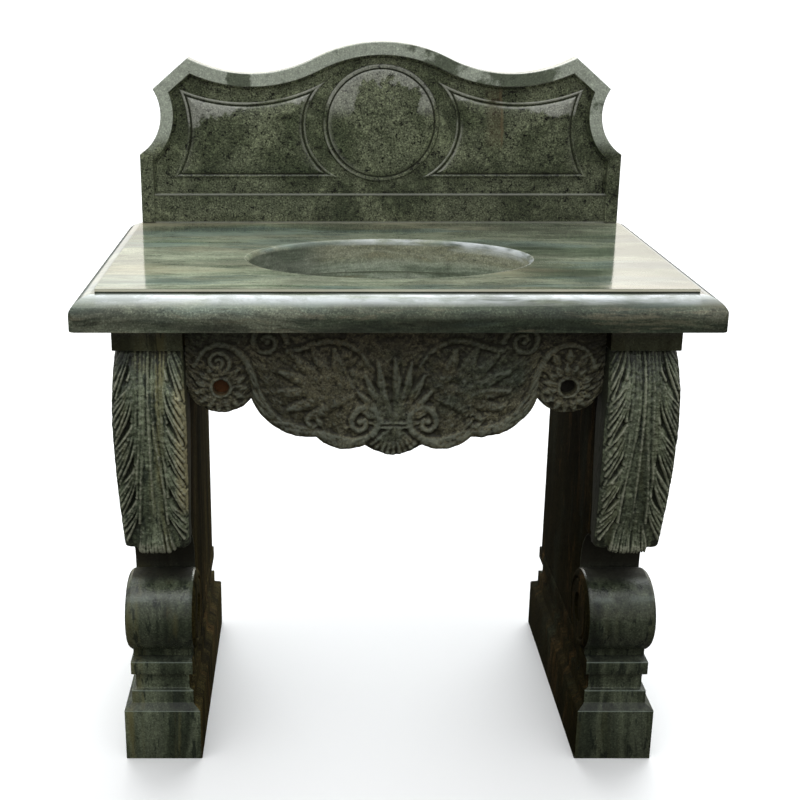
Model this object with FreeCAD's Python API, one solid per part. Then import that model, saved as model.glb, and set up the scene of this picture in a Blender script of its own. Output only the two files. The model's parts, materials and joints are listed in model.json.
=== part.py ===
import FreeCAD, Part
import math
import os

# Vanity sink in carved stone. Millimetres, floor at z = 0, front towards -Y, wall side towards +Y.

Vector = FreeCAD.Vector

# Top slab
SLAB_WIDTH = 1020.0
SLAB_DEPTH = 600.0
SLAB_TOP_HEIGHT = 850.0
SLAB_THICKNESS = 60.0
SLAB_CORNER_RADIUS = 12.0
OVOLO_RADIUS = 34.0
QUIRK_WIDTH = 4.0
FIELD_STEP = 7.0

# Oval cut-out and bowl
BASIN_END_MARGIN = 267.0
BASIN_WIDTH = 290.0
BASIN_FRONT_MARGIN = 113.0
BASIN_RIM_RADIUS = 9.0
BOWL_SETBACK = 3.0
BOWL_WALL = 16.0
BOWL_LIP = 10.0
BOWL_LIP_THICKNESS = 14.0
BOWL_DEPTH = 98.0
BOWL_FLOOR = 26.0
SEALANT_THICKNESS = 2.0
BOWL_SECTION_SHARES = ((0.0, 1.0), (0.3, 0.975), (0.6, 0.89), (0.84, 0.72), (1.0, 0.45))

# Backsplash
BACKSPLASH_INSET = 40.0
BACKSPLASH_HEIGHT = 350.0
BACKSPLASH_THICKNESS = 40.0
FRAME_WIDTH = 25.0
FIELD_DEPTH = 10.0
BAND_DEPTH = 4.0
BAND_HEIGHT = 56.0
MEDALLION_RADIUS = 113.0
MEDALLION_HEIGHT = 195.0
MEDALLION_RIM = 9.0
MEDALLION_RISE = 8.0
PANEL_RISE = 4.0
PANEL_BORDER = 9.0
PANEL_CROWN = 3.0
# Shares of the half width and of the height
CREST_BEND_SHARES = (0.272, 0.914)
DIP_SHARES = (0.532, 0.829)
HORN_SHARES = (0.793, 0.914)
SHOULDER_SHARES = (0.938, 0.746)
WAIST_SHARES = (0.911, 0.571)
HIP_SHARES = (1.0, 0.386)
PANEL_FOOT_INNER_SHARES = (0.174, 0.256)
PANEL_FOOT_OUTER_SHARES = (0.862, 0.256)
PANEL_SIDE_SHARES = (0.798, 0.53)
PANEL_HORN_SHARES = (0.831, 0.745)
PANEL_DIP_SHARES = (0.551, 0.672)
PANEL_CREST_SHARES = (0.222, 0.793)
PANEL_RING_SHARES = (0.311, 0.561)

# Legs: widths are across the leg, setbacks are behind the slab's front edge
LEG_INSET = 118.0
PLINTH_WIDTH = 133.0
PLINTH_DEPTH = 460.0
PLINTH_SETBACK = 36.0
PLINTH_HEIGHT = 96.0
WASH_HEIGHT = 8.0
FILLET_HEIGHT = 24.5
FILLET_INSET = 12.5
RECESS_HEIGHT = 31.0
RECESS_INSET = 19.5
LEG_WIDTH = 104.0
LEG_BACK_INSET = 24.0
ROLL_WIDTH = 120.0
ROLL_RADIUS = 70.0
ROLL_SETBACK = 36.0
ROLL_LIFT = 2.0
ROLL_EYE_RADIUS = 27.0
ROLL_EYE_DEPTH = 5.0
COLLAR_SETBACK = 70.0
NECK_SETBACK = 142.0
NECK_TOP_SETBACK = 88.0
NECK_BEND_SHARES = (0.27, 0.6)
LEAF_WIDTH = 112.0
NECK_LENGTH = 80.0
LEAF_FOOT_SETBACK = 46.0
LEAF_FOOT_DEPTH = 120.0
LEAF_CURL_RADIUS = 13.0
LEAF_CURL_WIDTH = 70.0
KNEE_DROP = 92.0
KNEE_SETBACK = 10.0
LEAF_TOP_SETBACK = 40.0
LEAF_RELIEF = 5.0
LEAF_LOBES = 5
LEAF_LOBE_REACH = 54.0
LEAF_CUSP_REACH = 45.0
MIDRIB_RISE = 3.0
MIDRIB_TOP_WIDTH = 20.0
MIDRIB_FOOT_WIDTH = 9.0
BRACKET_CURVE_SHARES = (0.3, 0.56)
BRACKET_TOP_INSET = 30.0
CAP_WIDTH = 112.0
CAP_HEIGHT = 38.0
CAP_SETBACK = 27.0
CAP_BACK_OVERHANG = 10.0

# Apron: places are across from the middle and insets are in from its ends. Rises are above the
# foot of the shell and drops are below the slab.
APRON_SETBACK = 50.0
APRON_GROUND = 8.0
APRON_THICKNESS = 28.0
SHELL_FOOT_DROP = 226.0
SHELL_CUSP_PLACE = 47.0
SHELL_CUSP_RISE = 17.0
LOBE_PLACE = 84.0
LOBE_RISE = 10.0
LOBE_CUSP_PLACE = 126.0
LOBE_CUSP_RISE = 31.0
SWEEP_SHARE = 0.654
SWEEP_RISE = 49.0
ROSETTE_INSET = 56.0
ROSETTE_DROP = 93.0
ROSETTE_RADIUS = 60.0
ROSETTE_CUSP_ANGLE = 216.0
ROSETTE_HOLE_RADIUS = 13.0
ROSETTE_HOLE_DEPTH = 22.0
ROSETTE_HOLE_DROP = 16.0
RIM_WIDTH = 11.0
RIM_TOP_DROP = 100.0
VOLUTE_PLACE = 48.0
VOLUTE_RISE = 58.0
VOLUTE_RADIUS = 19.0
VOLUTE_CORD = 6.0
VOLUTE_EYE_RADIUS = 8.0
TIE_RISE = 54.0
TIE_WIDTH = 44.0
TIE_CORD = 5.0
RAY_COUNT = 9
SHELL_FAN_ANGLE = 92.0
RAY_HALF_ANGLE = 5.0
RAY_ROOT = 4.0
SHELL_RAY_LENGTH = 46.0
PALM_RAY_LENGTH = 98.0
PALM_FAN_ANGLE = 108.0
CURL_INSET = 131.0
CURL_DROP = 38.0
CURL_RADIUS = 26.0
CURL_CORD = 6.0

# Joints between the stones
DOWEL_RADIUS = 6.0
DOWEL_LENGTH = 36.0
BASE_DOWEL_RADIUS = 8.0
BASE_DOWEL_LENGTH = 80.0
APRON_DOWEL_RADIUS = 5.0
APRON_DOWEL_LENGTH = 56.0
DOWEL_CLEARANCE = 0.2
SLAB_DOWEL_SHARES = (0.2, 0.8)
CONSOLE_DOWEL_SHARES = (0.3, 0.7)
BASE_DOWEL_SHARES = (0.28, 0.72)
BACKSPLASH_DOWEL_SHARES = (-0.7, 0.0, 0.7)
APRON_DOWEL_SHARES = (0.38, 0.72)

# Bowl clips
CLIP_WIDTH = 24.0
CLIP_LENGTH = 36.0
CLIP_THICKNESS = 4.0
CLIP_GRIP = 7.0
CLIP_FOOT = 10.0
CLIP_ANGLES = (0.0, 52.0, 128.0, 180.0, 232.0, 308.0)
BOLT_RADIUS = 3.0
BOLT_CLEARANCE = 0.2
BOLT_HEAD_RADIUS = 5.5
BOLT_HEAD_HEIGHT = 4.0
BOLT_BITE = 20.0

# Apron brackets
BRACKET_LEG = 40.0
BRACKET_WIDTH = 36.0
BRACKET_THICKNESS = 4.0
BRACKET_INSET = 74.0
SCREW_BITE = 14.0

# Outlet of the bowl
OUTLET_HOLE_RADIUS = 23.0
FLANGE_RADIUS = 32.0
FLANGE_THICKNESS = 3.0
FLANGE_SEAT_CLEARANCE = 1.0
FLANGE_SEAL_THICKNESS = 1.5
FLANGE_SEAL_WIDTH = 8.0
OUTLET_BODY_RADIUS = 21.0
OUTLET_BODY_LENGTH = 77.0
OUTLET_BORE_RADIUS = 17.5
OUTLET_LEDGE_RADIUS = 13.0
OUTLET_LEDGE_THICKNESS = 8.0
OUTLET_SOCKET_LENGTH = 30.0
THREAD_CLEARANCE = 0.1
GASKET_RADIUS = 31.0
GASKET_THICKNESS = 6.0
WASHER_RADIUS = 30.0
WASHER_THICKNESS = 2.0
NUT_RADIUS = 33.0
NUT_THICKNESS = 12.0
NUT_SIDES = 6
TAILPIECE_RADIUS = 16.0
TAILPIECE_WALL = 2.0
TAILPIECE_NECK_RADIUS = 15.5
TAILPIECE_SPIGOT = 36.0
TAILPIECE_DROP = 40.0

# Plug
PLUG_LIFT = 10.0
PLUG_RADIUS = 29.0
PLUG_EDGE = 3.0
PLUG_DOME = 5.0
PLUG_SEAL_RADIUS = 26.0
PLUG_SEAL_WIDTH = 6.0
PLUG_SEAL_THICKNESS = 2.0
STEM_RADIUS = 4.0
STEM_CLEARANCE = 0.05
STEM_TAIL = 4.0
GUIDE_HUB_RADIUS = 7.5
GUIDE_HEIGHT = 12.0
GUIDE_RING_WALL = 2.5
GUIDE_SPOKE = 3.0
GUIDE_SPOKES = 3
STOP_RADIUS = 7.0
STOP_HEIGHT = 4.0
STOP_GAP = 0.3

OVERRUN = 5.0

# Places that follow from the sizes
SLAB_FRONT = -SLAB_DEPTH / 2
SLAB_BACK = SLAB_DEPTH / 2
SLAB_UNDERSIDE = SLAB_TOP_HEIGHT - SLAB_THICKNESS
BASIN_Y = SLAB_FRONT + BASIN_FRONT_MARGIN + BASIN_WIDTH / 2
BASIN_LENGTH = SLAB_WIDTH - 2 * BASIN_END_MARGIN
BOWL_HALF_LENGTH = BASIN_LENGTH / 2 + BOWL_SETBACK
BOWL_HALF_WIDTH = BASIN_WIDTH / 2 + BOWL_SETBACK
BOWL_TOP = SLAB_UNDERSIDE - SEALANT_THICKNESS
BOWL_INSIDE_FLOOR = BOWL_TOP - BOWL_DEPTH
BOWL_UNDERSIDE = BOWL_INSIDE_FLOOR - BOWL_FLOOR
BACKSPLASH_WIDTH = SLAB_WIDTH - 2 * BACKSPLASH_INSET
BACKSPLASH_FRONT = SLAB_BACK - BACKSPLASH_THICKNESS
BACKSPLASH_FOOT = SLAB_TOP_HEIGHT + SEALANT_THICKNESS
LEG_PLACE = SLAB_WIDTH / 2 - LEG_INSET
PLINTH_FRONT = SLAB_FRONT + PLINTH_SETBACK
PLINTH_BACK = PLINTH_FRONT + PLINTH_DEPTH
BASE_TOP = PLINTH_HEIGHT + WASH_HEIGHT + FILLET_HEIGHT + RECESS_HEIGHT + FILLET_HEIGHT
LEG_BACK = PLINTH_BACK - LEG_BACK_INSET
LEG_TOP = SLAB_UNDERSIDE - CAP_HEIGHT
KNEE_HEIGHT = LEG_TOP - KNEE_DROP
ROLL_Y = SLAB_FRONT + ROLL_SETBACK + ROLL_RADIUS
ROLL_Z = BASE_TOP + ROLL_LIFT + ROLL_RADIUS
LEAF_FOOT_HEIGHT = ROLL_Z + ROLL_RADIUS + NECK_LENGTH
CAP_FRONT = SLAB_FRONT + CAP_SETBACK
CAP_BACK = LEG_BACK + CAP_BACK_OVERHANG
APRON_FRONT = SLAB_FRONT + APRON_SETBACK
APRON_FACE = APRON_FRONT + APRON_GROUND
APRON_BACK = APRON_FRONT + APRON_THICKNESS
APRON_END = LEG_PLACE - LEAF_WIDTH / 2
SHELL_FOOT_HEIGHT = SLAB_UNDERSIDE - SHELL_FOOT_DROP
SHELL_CUSP_HEIGHT = SHELL_FOOT_HEIGHT + SHELL_CUSP_RISE
LOBE_HEIGHT = SHELL_FOOT_HEIGHT + LOBE_RISE
LOBE_CUSP_HEIGHT = SHELL_FOOT_HEIGHT + LOBE_CUSP_RISE
SWEEP_HEIGHT = SHELL_FOOT_HEIGHT + SWEEP_RISE
VOLUTE_HEIGHT = SHELL_FOOT_HEIGHT + VOLUTE_RISE
TIE_HEIGHT = SHELL_FOOT_HEIGHT + TIE_RISE
ROSETTE_PLACE = APRON_END - ROSETTE_INSET
ROSETTE_HEIGHT = SLAB_UNDERSIDE - ROSETTE_DROP
RIM_TOP_HEIGHT = SLAB_UNDERSIDE - RIM_TOP_DROP
CURL_PLACE = APRON_END - CURL_INSET
CURL_HEIGHT = SLAB_UNDERSIDE - CURL_DROP
BRACKET_PLACE = APRON_END - BRACKET_INSET
FLANGE_SEAT = BOWL_INSIDE_FLOOR - FLANGE_THICKNESS - FLANGE_SEAL_THICKNESS
FLANGE_UNDERSIDE = BOWL_INSIDE_FLOOR - FLANGE_THICKNESS
OUTLET_END = FLANGE_UNDERSIDE - OUTLET_BODY_LENGTH
LEDGE_UNDERSIDE = OUTLET_END + OUTLET_SOCKET_LENGTH
LEDGE_TOP = LEDGE_UNDERSIDE + OUTLET_LEDGE_THICKNESS
THREAD_BORE_RADIUS = OUTLET_BODY_RADIUS + THREAD_CLEARANCE
GASKET_UNDERSIDE = BOWL_UNDERSIDE - GASKET_THICKNESS
WASHER_UNDERSIDE = GASKET_UNDERSIDE - WASHER_THICKNESS
NUT_UNDERSIDE = WASHER_UNDERSIDE - NUT_THICKNESS
PLUG_UNDERSIDE = BOWL_INSIDE_FLOOR + PLUG_SEAL_THICKNESS
STOP_TOP = LEDGE_TOP - PLUG_LIFT - STOP_GAP
STOP_UNDERSIDE = STOP_TOP - STOP_HEIGHT

X_AXIS = Vector(1, 0, 0)
Y_AXIS = Vector(0, 1, 0)
Z_AXIS = Vector(0, 0, 1)


# Drawing helpers

def on_front(y):
    """Plane that faces the front: points are (across, height)."""
    return lambda across, height: Vector(across, y, height)


def on_side(x):
    """Plane that faces sideways: points are (depth, height)."""
    return lambda depth, height: Vector(x, depth, height)


def outline_face(place, start, steps):
    """Closed face. A step of one point is a line, a step of two points is an arc through the first."""
    edges = []
    here = start
    for step in steps:
        end = step[-1]
        if len(step) == 1:
            edges.append(Part.LineSegment(place(*here), place(*end)).toShape())
        else:
            edges.append(Part.Arc(place(*here), place(*step[0]), place(*end)).toShape())
        here = end
    return Part.Face(Part.Wire(edges))


def flipped(point):
    return (-point[0], point[1])


def mirrored_back(start, steps):
    """The path of these steps in a mirror at x = 0, walked from its end to its start."""
    points = [start] + [step[-1] for step in steps]
    back = []
    for index in range(len(steps) - 1, -1, -1):
        back.append(tuple(flipped(point) for point in steps[index][:-1]) + (flipped(points[index]),))
    return back


def knee_arc(knee, end):
    """Arc step that leaves the knee upright and ends at the given point."""
    run = end[0] - knee[0]
    rise = end[1] - knee[1]
    radius = (run * run + rise * rise) / (2 * run)
    turn = math.asin(rise / radius) / 2
    return ((knee[0] + radius * (1 - math.cos(turn)), knee[1] + radius * math.sin(turn)), end)


def block(low, high):
    """Box between two corners."""
    size = high - low
    return Part.makeBox(size.x, size.y, size.z, low)


def disc(radius, low, high, x=0.0, y=0.0):
    """Upright cylinder between two heights."""
    return Part.makeCylinder(radius, high - low, Vector(x, y, low), Z_AXIS)


def ring(outer, inner, low, high, y):
    """Upright tube between two heights."""
    return disc(outer, low, high, y=y).cut(disc(inner, low, high, y=y))


def ellipse_wire(half_length, half_width, y, z):
    curve = Part.Ellipse(Vector(0, y, z), half_length, half_width)
    return Part.Wire([curve.toShape()])


def ellipse_block(half_length, half_width, y, low, high):
    face = Part.Face(ellipse_wire(half_length, half_width, y, low))
    return face.extrude(Vector(0, 0, high - low))


def pin(radius, length, middle, axis):
    """Cylinder centred on a joint."""
    return Part.makeCylinder(radius, length, middle - axis * (length / 2), axis)


def pin_hole(radius, length, middle, axis):
    """Drilled hole for a pin, with its clearance round and beyond the ends."""
    return pin(radius + DOWEL_CLEARANCE, length + 2 * DOWEL_CLEARANCE, middle, axis)


def along(low, high, share):
    return low + (high - low) * share


def mirror_left(shape):
    return shape.mirror(Vector(0, 0, 0), X_AXIS)


def fuse_all(shapes):
    return shapes[0].multiFuse(shapes[1:]).removeSplitter()


# Dowel places

def slab_dowel_places():
    return [
        Vector(side * LEG_PLACE, along(CAP_FRONT, CAP_BACK, share), SLAB_UNDERSIDE)
        for side in (-1, 1)
        for share in SLAB_DOWEL_SHARES
    ]


def console_dowel_places():
    return [
        Vector(side * LEG_PLACE, along(CAP_FRONT, CAP_BACK, share), LEG_TOP)
        for side in (-1, 1)
        for share in CONSOLE_DOWEL_SHARES
    ]


def base_dowel_places():
    return [
        Vector(side * LEG_PLACE, along(PLINTH_FRONT, PLINTH_BACK, share), BASE_TOP)
        for side in (-1, 1)
        for share in BASE_DOWEL_SHARES
    ]


def backsplash_dowel_places():
    middle = BACKSPLASH_FRONT + BACKSPLASH_THICKNESS / 2
    return [
        Vector(share * BACKSPLASH_WIDTH / 2, middle, SLAB_TOP_HEIGHT)
        for share in BACKSPLASH_DOWEL_SHARES
    ]


def apron_dowel_places():
    middle = (APRON_FACE + APRON_BACK) / 2
    return [
        Vector(side * APRON_END, middle, along(ROSETTE_HEIGHT, LEG_TOP, share))
        for side in (-1, 1)
        for share in APRON_DOWEL_SHARES
    ]


def drill(shape, radius, length, middles, axis):
    return shape.cut([pin_hole(radius, length, middle, axis) for middle in middles])


def dowels(radius, length, middles, axis):
    return Part.makeCompound([pin(radius, length, middle, axis) for middle in middles])


# Top slab

def edge_steps(edge, inward):
    """Slab edge from the raised field down to the underside. Inward is +1 or -1."""
    quirk = SLAB_TOP_HEIGHT - FIELD_STEP
    bend = OVOLO_RADIUS * (1 - math.sqrt(0.5))
    field = edge + inward * (OVOLO_RADIUS + QUIRK_WIDTH)
    return field, [
        ((field, quirk),),
        ((edge + inward * OVOLO_RADIUS, quirk),),
        ((edge + inward * bend, quirk - bend), (edge, quirk - OVOLO_RADIUS)),
        ((edge, SLAB_UNDERSIDE),),
    ]


def clip_frames():
    """Place and outward direction of each clip, on the outer edge of the bowl's lip."""
    half_length = BOWL_HALF_LENGTH + BOWL_WALL + BOWL_LIP
    half_width = BOWL_HALF_WIDTH + BOWL_WALL + BOWL_LIP
    frames = []
    for angle in CLIP_ANGLES:
        cosine = math.cos(math.radians(angle))
        sine = math.sin(math.radians(angle))
        place = Vector(half_length * cosine, BASIN_Y + half_width * sine, SLAB_UNDERSIDE)
        outward = Vector(cosine / half_length, sine / half_width, 0).normalize()
        frames.append((place, outward))
    return frames


def clip_bolt_places():
    reach = (CLIP_LENGTH - CLIP_GRIP - CLIP_FOOT) / 2
    return [place + outward * reach for place, outward in clip_frames()]


def bracket_places():
    return [Vector(side * BRACKET_PLACE, APRON_BACK, SLAB_UNDERSIDE) for side in (-1, 1)]


def top_slab():
    front_field, front_steps = edge_steps(SLAB_FRONT, 1)
    along_width = outline_face(
        on_side(-SLAB_WIDTH / 2), (SLAB_BACK, SLAB_UNDERSIDE),
        [((SLAB_BACK, SLAB_TOP_HEIGHT),), ((front_field, SLAB_TOP_HEIGHT),)] + front_steps
        + [((SLAB_BACK, SLAB_UNDERSIDE),)],
    ).extrude(X_AXIS * SLAB_WIDTH)
    edge = SLAB_WIDTH / 2
    right_field, right_steps = edge_steps(edge, -1)
    right_start = (right_field, SLAB_TOP_HEIGHT)
    along_depth = outline_face(
        on_front(SLAB_FRONT), flipped(right_start),
        [(right_start,)] + right_steps + [(flipped((edge, SLAB_UNDERSIDE)),)]
        + mirrored_back(right_start, right_steps),
    ).extrude(Y_AXIS * SLAB_DEPTH)
    plan = block(Vector(-edge, SLAB_FRONT, SLAB_UNDERSIDE), Vector(edge, SLAB_BACK, SLAB_TOP_HEIGHT))
    front_corners = [
        line for line in plan.Edges
        if line.BoundBox.YMax < 0 and line.BoundBox.ZLength > SLAB_THICKNESS / 2
    ]
    slab = along_width.common(along_depth).common(plan.makeFillet(SLAB_CORNER_RADIUS, front_corners))
    slab = slab.cut(ellipse_block(
        BASIN_LENGTH / 2, BASIN_WIDTH / 2, BASIN_Y, SLAB_UNDERSIDE - OVERRUN, SLAB_TOP_HEIGHT + OVERRUN))
    rim = [
        line for line in slab.Edges
        if not isinstance(line.Curve, Part.Line) and line.BoundBox.ZMin > SLAB_TOP_HEIGHT - FIELD_STEP / 2
    ]
    slab = slab.makeFillet(BASIN_RIM_RADIUS, rim)
    slab = drill(slab, DOWEL_RADIUS, DOWEL_LENGTH, slab_dowel_places(), Z_AXIS)
    slab = drill(slab, DOWEL_RADIUS, DOWEL_LENGTH, backsplash_dowel_places(), Z_AXIS)
    radius = BOLT_RADIUS + BOLT_CLEARANCE
    bolts = [disc(radius, SLAB_UNDERSIDE, SLAB_UNDERSIDE + BOLT_BITE, place.x, place.y)
             for place in clip_bolt_places()]
    screws = [disc(radius, SLAB_UNDERSIDE, SLAB_UNDERSIDE + SCREW_BITE, place.x, place.y)
              for place in bracket_slab_screw_places()]
    return slab.cut(bolts + screws)


# Bowl

def bowl_loft(grow, depth):
    """Oval bowl form, larger all round by the given amount."""
    wires = []
    for depth_share, size_share in BOWL_SECTION_SHARES:
        wires.append(ellipse_wire(
            BOWL_HALF_LENGTH * size_share + grow, BOWL_HALF_WIDTH * size_share + grow,
            BASIN_Y, BOWL_TOP - depth * depth_share))
    return Part.makeLoft(wires, True, False)


def basin_bowl():
    lip = ellipse_block(
        BOWL_HALF_LENGTH + BOWL_WALL + BOWL_LIP, BOWL_HALF_WIDTH + BOWL_WALL + BOWL_LIP,
        BASIN_Y, BOWL_TOP - BOWL_LIP_THICKNESS, BOWL_TOP)
    bowl = bowl_loft(BOWL_WALL, BOWL_DEPTH + BOWL_FLOOR).fuse(lip)
    bowl = bowl.cut(bowl_loft(0.0, BOWL_DEPTH))
    seat = disc(FLANGE_RADIUS + FLANGE_SEAT_CLEARANCE, FLANGE_SEAT, BOWL_INSIDE_FLOOR + OVERRUN, y=BASIN_Y)
    hole = disc(OUTLET_HOLE_RADIUS, BOWL_UNDERSIDE - OVERRUN, FLANGE_SEAT + OVERRUN, y=BASIN_Y)
    return bowl.cut([seat, hole])


def bowl_sealant():
    outer = ellipse_block(
        BOWL_HALF_LENGTH + BOWL_WALL, BOWL_HALF_WIDTH + BOWL_WALL, BASIN_Y, BOWL_TOP, SLAB_UNDERSIDE)
    return outer.cut(ellipse_block(BOWL_HALF_LENGTH, BOWL_HALF_WIDTH, BASIN_Y, BOWL_TOP, SLAB_UNDERSIDE))


def bowl_clip(place, outward):
    """Stepped clip: its foot stands off the slab and its nose lies under the bowl's lip."""
    nose = BOWL_TOP - BOWL_LIP_THICKNESS
    tail = CLIP_LENGTH - CLIP_GRIP
    half = CLIP_WIDTH / 2
    plate = block(Vector(-CLIP_GRIP, -half, nose - CLIP_THICKNESS), Vector(tail, half, nose))
    foot = block(Vector(tail - CLIP_FOOT, -half, nose), Vector(tail, half, SLAB_UNDERSIDE))
    clip = plate.fuse(foot).removeSplitter()
    hole_place = (CLIP_LENGTH - CLIP_GRIP - CLIP_FOOT) / 2
    clip = clip.cut(disc(BOLT_RADIUS + BOLT_CLEARANCE, nose - CLIP_THICKNESS, nose, x=hole_place))
    clip.rotate(Vector(0, 0, 0), Z_AXIS, math.degrees(math.atan2(outward.y, outward.x)))
    clip.translate(Vector(place.x, place.y, 0))
    return clip


def bowl_clips():
    return Part.makeCompound([bowl_clip(place, outward) for place, outward in clip_frames()])


def bolt_up(place, seat, bite):
    """Headed bolt from below: the head bears on the seat and the shank bites into the slab."""
    head = disc(BOLT_HEAD_RADIUS, seat - BOLT_HEAD_HEIGHT, seat, place.x, place.y)
    shank = disc(BOLT_RADIUS, seat, SLAB_UNDERSIDE + bite, place.x, place.y)
    return head.fuse(shank).removeSplitter()


def bowl_clip_bolts():
    seat = BOWL_TOP - BOWL_LIP_THICKNESS - CLIP_THICKNESS
    return Part.makeCompound([bolt_up(place, seat, BOLT_BITE) for place in clip_bolt_places()])


# Backsplash

def backsplash_point(shares):
    return (shares[0] * BACKSPLASH_WIDTH / 2, SLAB_TOP_HEIGHT + shares[1] * BACKSPLASH_HEIGHT)


def backsplash_face():
    bend = backsplash_point(CREST_BEND_SHARES)
    foot = (BACKSPLASH_WIDTH / 2, BACKSPLASH_FOOT)
    right = [
        (backsplash_point(DIP_SHARES), backsplash_point(HORN_SHARES)),
        (backsplash_point(SHOULDER_SHARES),),
        (backsplash_point(WAIST_SHARES), backsplash_point(HIP_SHARES)),
        (foot,),
    ]
    crest = (0.0, SLAB_TOP_HEIGHT + BACKSPLASH_HEIGHT)
    steps = [(crest, bend)] + right + [(flipped(foot),)] + mirrored_back(bend, right)
    return outline_face(on_front(BACKSPLASH_FRONT), flipped(bend), steps)


def shrunk(face, amount):
    """The face with its outline moved inwards."""
    return Part.Face(face.OuterWire.makeOffset2D(-amount))


def backsplash_panel():
    """Right-hand raised panel, with its stepped border."""
    inner = backsplash_point(PANEL_FOOT_INNER_SHARES)
    face = outline_face(on_front(BACKSPLASH_FRONT + FIELD_DEPTH), inner, [
        (backsplash_point(PANEL_FOOT_OUTER_SHARES),),
        (backsplash_point(PANEL_SIDE_SHARES), backsplash_point(PANEL_HORN_SHARES)),
        (backsplash_point(PANEL_DIP_SHARES), backsplash_point(PANEL_CREST_SHARES)),
        (backsplash_point(PANEL_RING_SHARES), inner),
    ])
    border = face.extrude(Y_AXIS * -PANEL_RISE)
    crown = shrunk(face, PANEL_BORDER).extrude(Y_AXIS * -(PANEL_RISE + PANEL_CROWN))
    return border.fuse(crown)


def medallion():
    middle = Vector(0, BACKSPLASH_FRONT + FIELD_DEPTH, SLAB_TOP_HEIGHT + MEDALLION_HEIGHT)
    foot = Part.makeCylinder(MEDALLION_RADIUS, MEDALLION_RISE / 2, middle, -Y_AXIS)
    face = Part.makeCylinder(MEDALLION_RADIUS - MEDALLION_RIM, MEDALLION_RISE, middle, -Y_AXIS)
    return foot.fuse(face)


def backsplash():
    face = backsplash_face()
    stone = face.extrude(Y_AXIS * BACKSPLASH_THICKNESS)
    half_field = BACKSPLASH_WIDTH / 2 - FRAME_WIDTH
    ledge = SLAB_TOP_HEIGHT + BAND_HEIGHT
    top = SLAB_TOP_HEIGHT + BACKSPLASH_HEIGHT
    front = BACKSPLASH_FRONT - OVERRUN
    upper = block(Vector(-BACKSPLASH_WIDTH, front, ledge), Vector(BACKSPLASH_WIDTH, SLAB_BACK, top))
    field = shrunk(face, FRAME_WIDTH).extrude(Y_AXIS * FIELD_DEPTH).common(upper)
    band = block(Vector(-half_field, front, BACKSPLASH_FOOT - OVERRUN),
                 Vector(half_field, BACKSPLASH_FRONT + BAND_DEPTH, ledge))
    panel = backsplash_panel()
    stone = fuse_all([stone.cut([field, band]), panel, mirror_left(panel), medallion()])
    return drill(stone, DOWEL_RADIUS, DOWEL_LENGTH, backsplash_dowel_places(), Z_AXIS)


def backsplash_sealant():
    half = BACKSPLASH_WIDTH / 2
    front = BACKSPLASH_FRONT + BAND_DEPTH
    strip = block(Vector(-half, front, SLAB_TOP_HEIGHT), Vector(half, SLAB_BACK, BACKSPLASH_FOOT))
    return drill(strip, DOWEL_RADIUS, DOWEL_LENGTH, backsplash_dowel_places(), Z_AXIS)


# Legs, drawn on the right and mirrored to the left

def leg_block(width, front, back, low, high):
    return block(Vector(LEG_PLACE - width / 2, front, low), Vector(LEG_PLACE + width / 2, back, high))


def base_layer(inset, low, height):
    return leg_block(PLINTH_WIDTH - 2 * inset, PLINTH_FRONT + inset, PLINTH_BACK - inset, low, low + height)


def base_rectangle(inset, height):
    left = LEG_PLACE - PLINTH_WIDTH / 2 + inset
    right = LEG_PLACE + PLINTH_WIDTH / 2 - inset
    front = PLINTH_FRONT + inset
    back = PLINTH_BACK - inset
    corners = [(left, front), (right, front), (right, back), (left, back), (left, front)]
    return Part.makePolygon([Vector(x, y, height) for x, y in corners])


def right_base():
    wash_top = PLINTH_HEIGHT + WASH_HEIGHT
    recess = wash_top + FILLET_HEIGHT
    upper = recess + RECESS_HEIGHT
    wash = Part.makeLoft(
        [base_rectangle(0.0, PLINTH_HEIGHT), base_rectangle(FILLET_INSET, wash_top)], True, True)
    stone = fuse_all([
        base_layer(0.0, 0.0, PLINTH_HEIGHT),
        wash,
        base_layer(FILLET_INSET, wash_top, FILLET_HEIGHT),
        base_layer(RECESS_INSET, recess, RECESS_HEIGHT),
        base_layer(FILLET_INSET, upper, FILLET_HEIGHT),
    ])
    return drill(stone, BASE_DOWEL_RADIUS, BASE_DOWEL_LENGTH, base_dowel_places(), Z_AXIS)


def leg_profile(width, start, steps):
    """Side profile of the leg, extruded across its width."""
    return outline_face(on_side(LEG_PLACE - width / 2), start, steps).extrude(X_AXIS * width)


def console_core():
    """Narrow stone behind the leaf, down through the neck to the base."""
    collar = SLAB_FRONT + COLLAR_SETBACK
    neck = SLAB_FRONT + NECK_SETBACK
    neck_top = SLAB_FRONT + NECK_TOP_SETBACK
    neck_low = ROLL_Z + ROLL_RADIUS
    neck_bend = (along(neck, neck_top, NECK_BEND_SHARES[0]),
                 along(neck_low, LEAF_FOOT_HEIGHT, NECK_BEND_SHARES[1]))
    return leg_profile(LEG_WIDTH, (LEG_BACK, BASE_TOP), [
        ((collar, BASE_TOP),),
        ((collar, ROLL_Z),),
        ((neck, ROLL_Z),),
        ((neck, neck_low),),
        (neck_bend, (neck_top, LEAF_FOOT_HEIGHT)),
        ((neck_top, LEG_TOP),),
        ((LEG_BACK, LEG_TOP),),
        ((LEG_BACK, BASE_TOP),),
    ])


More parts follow.
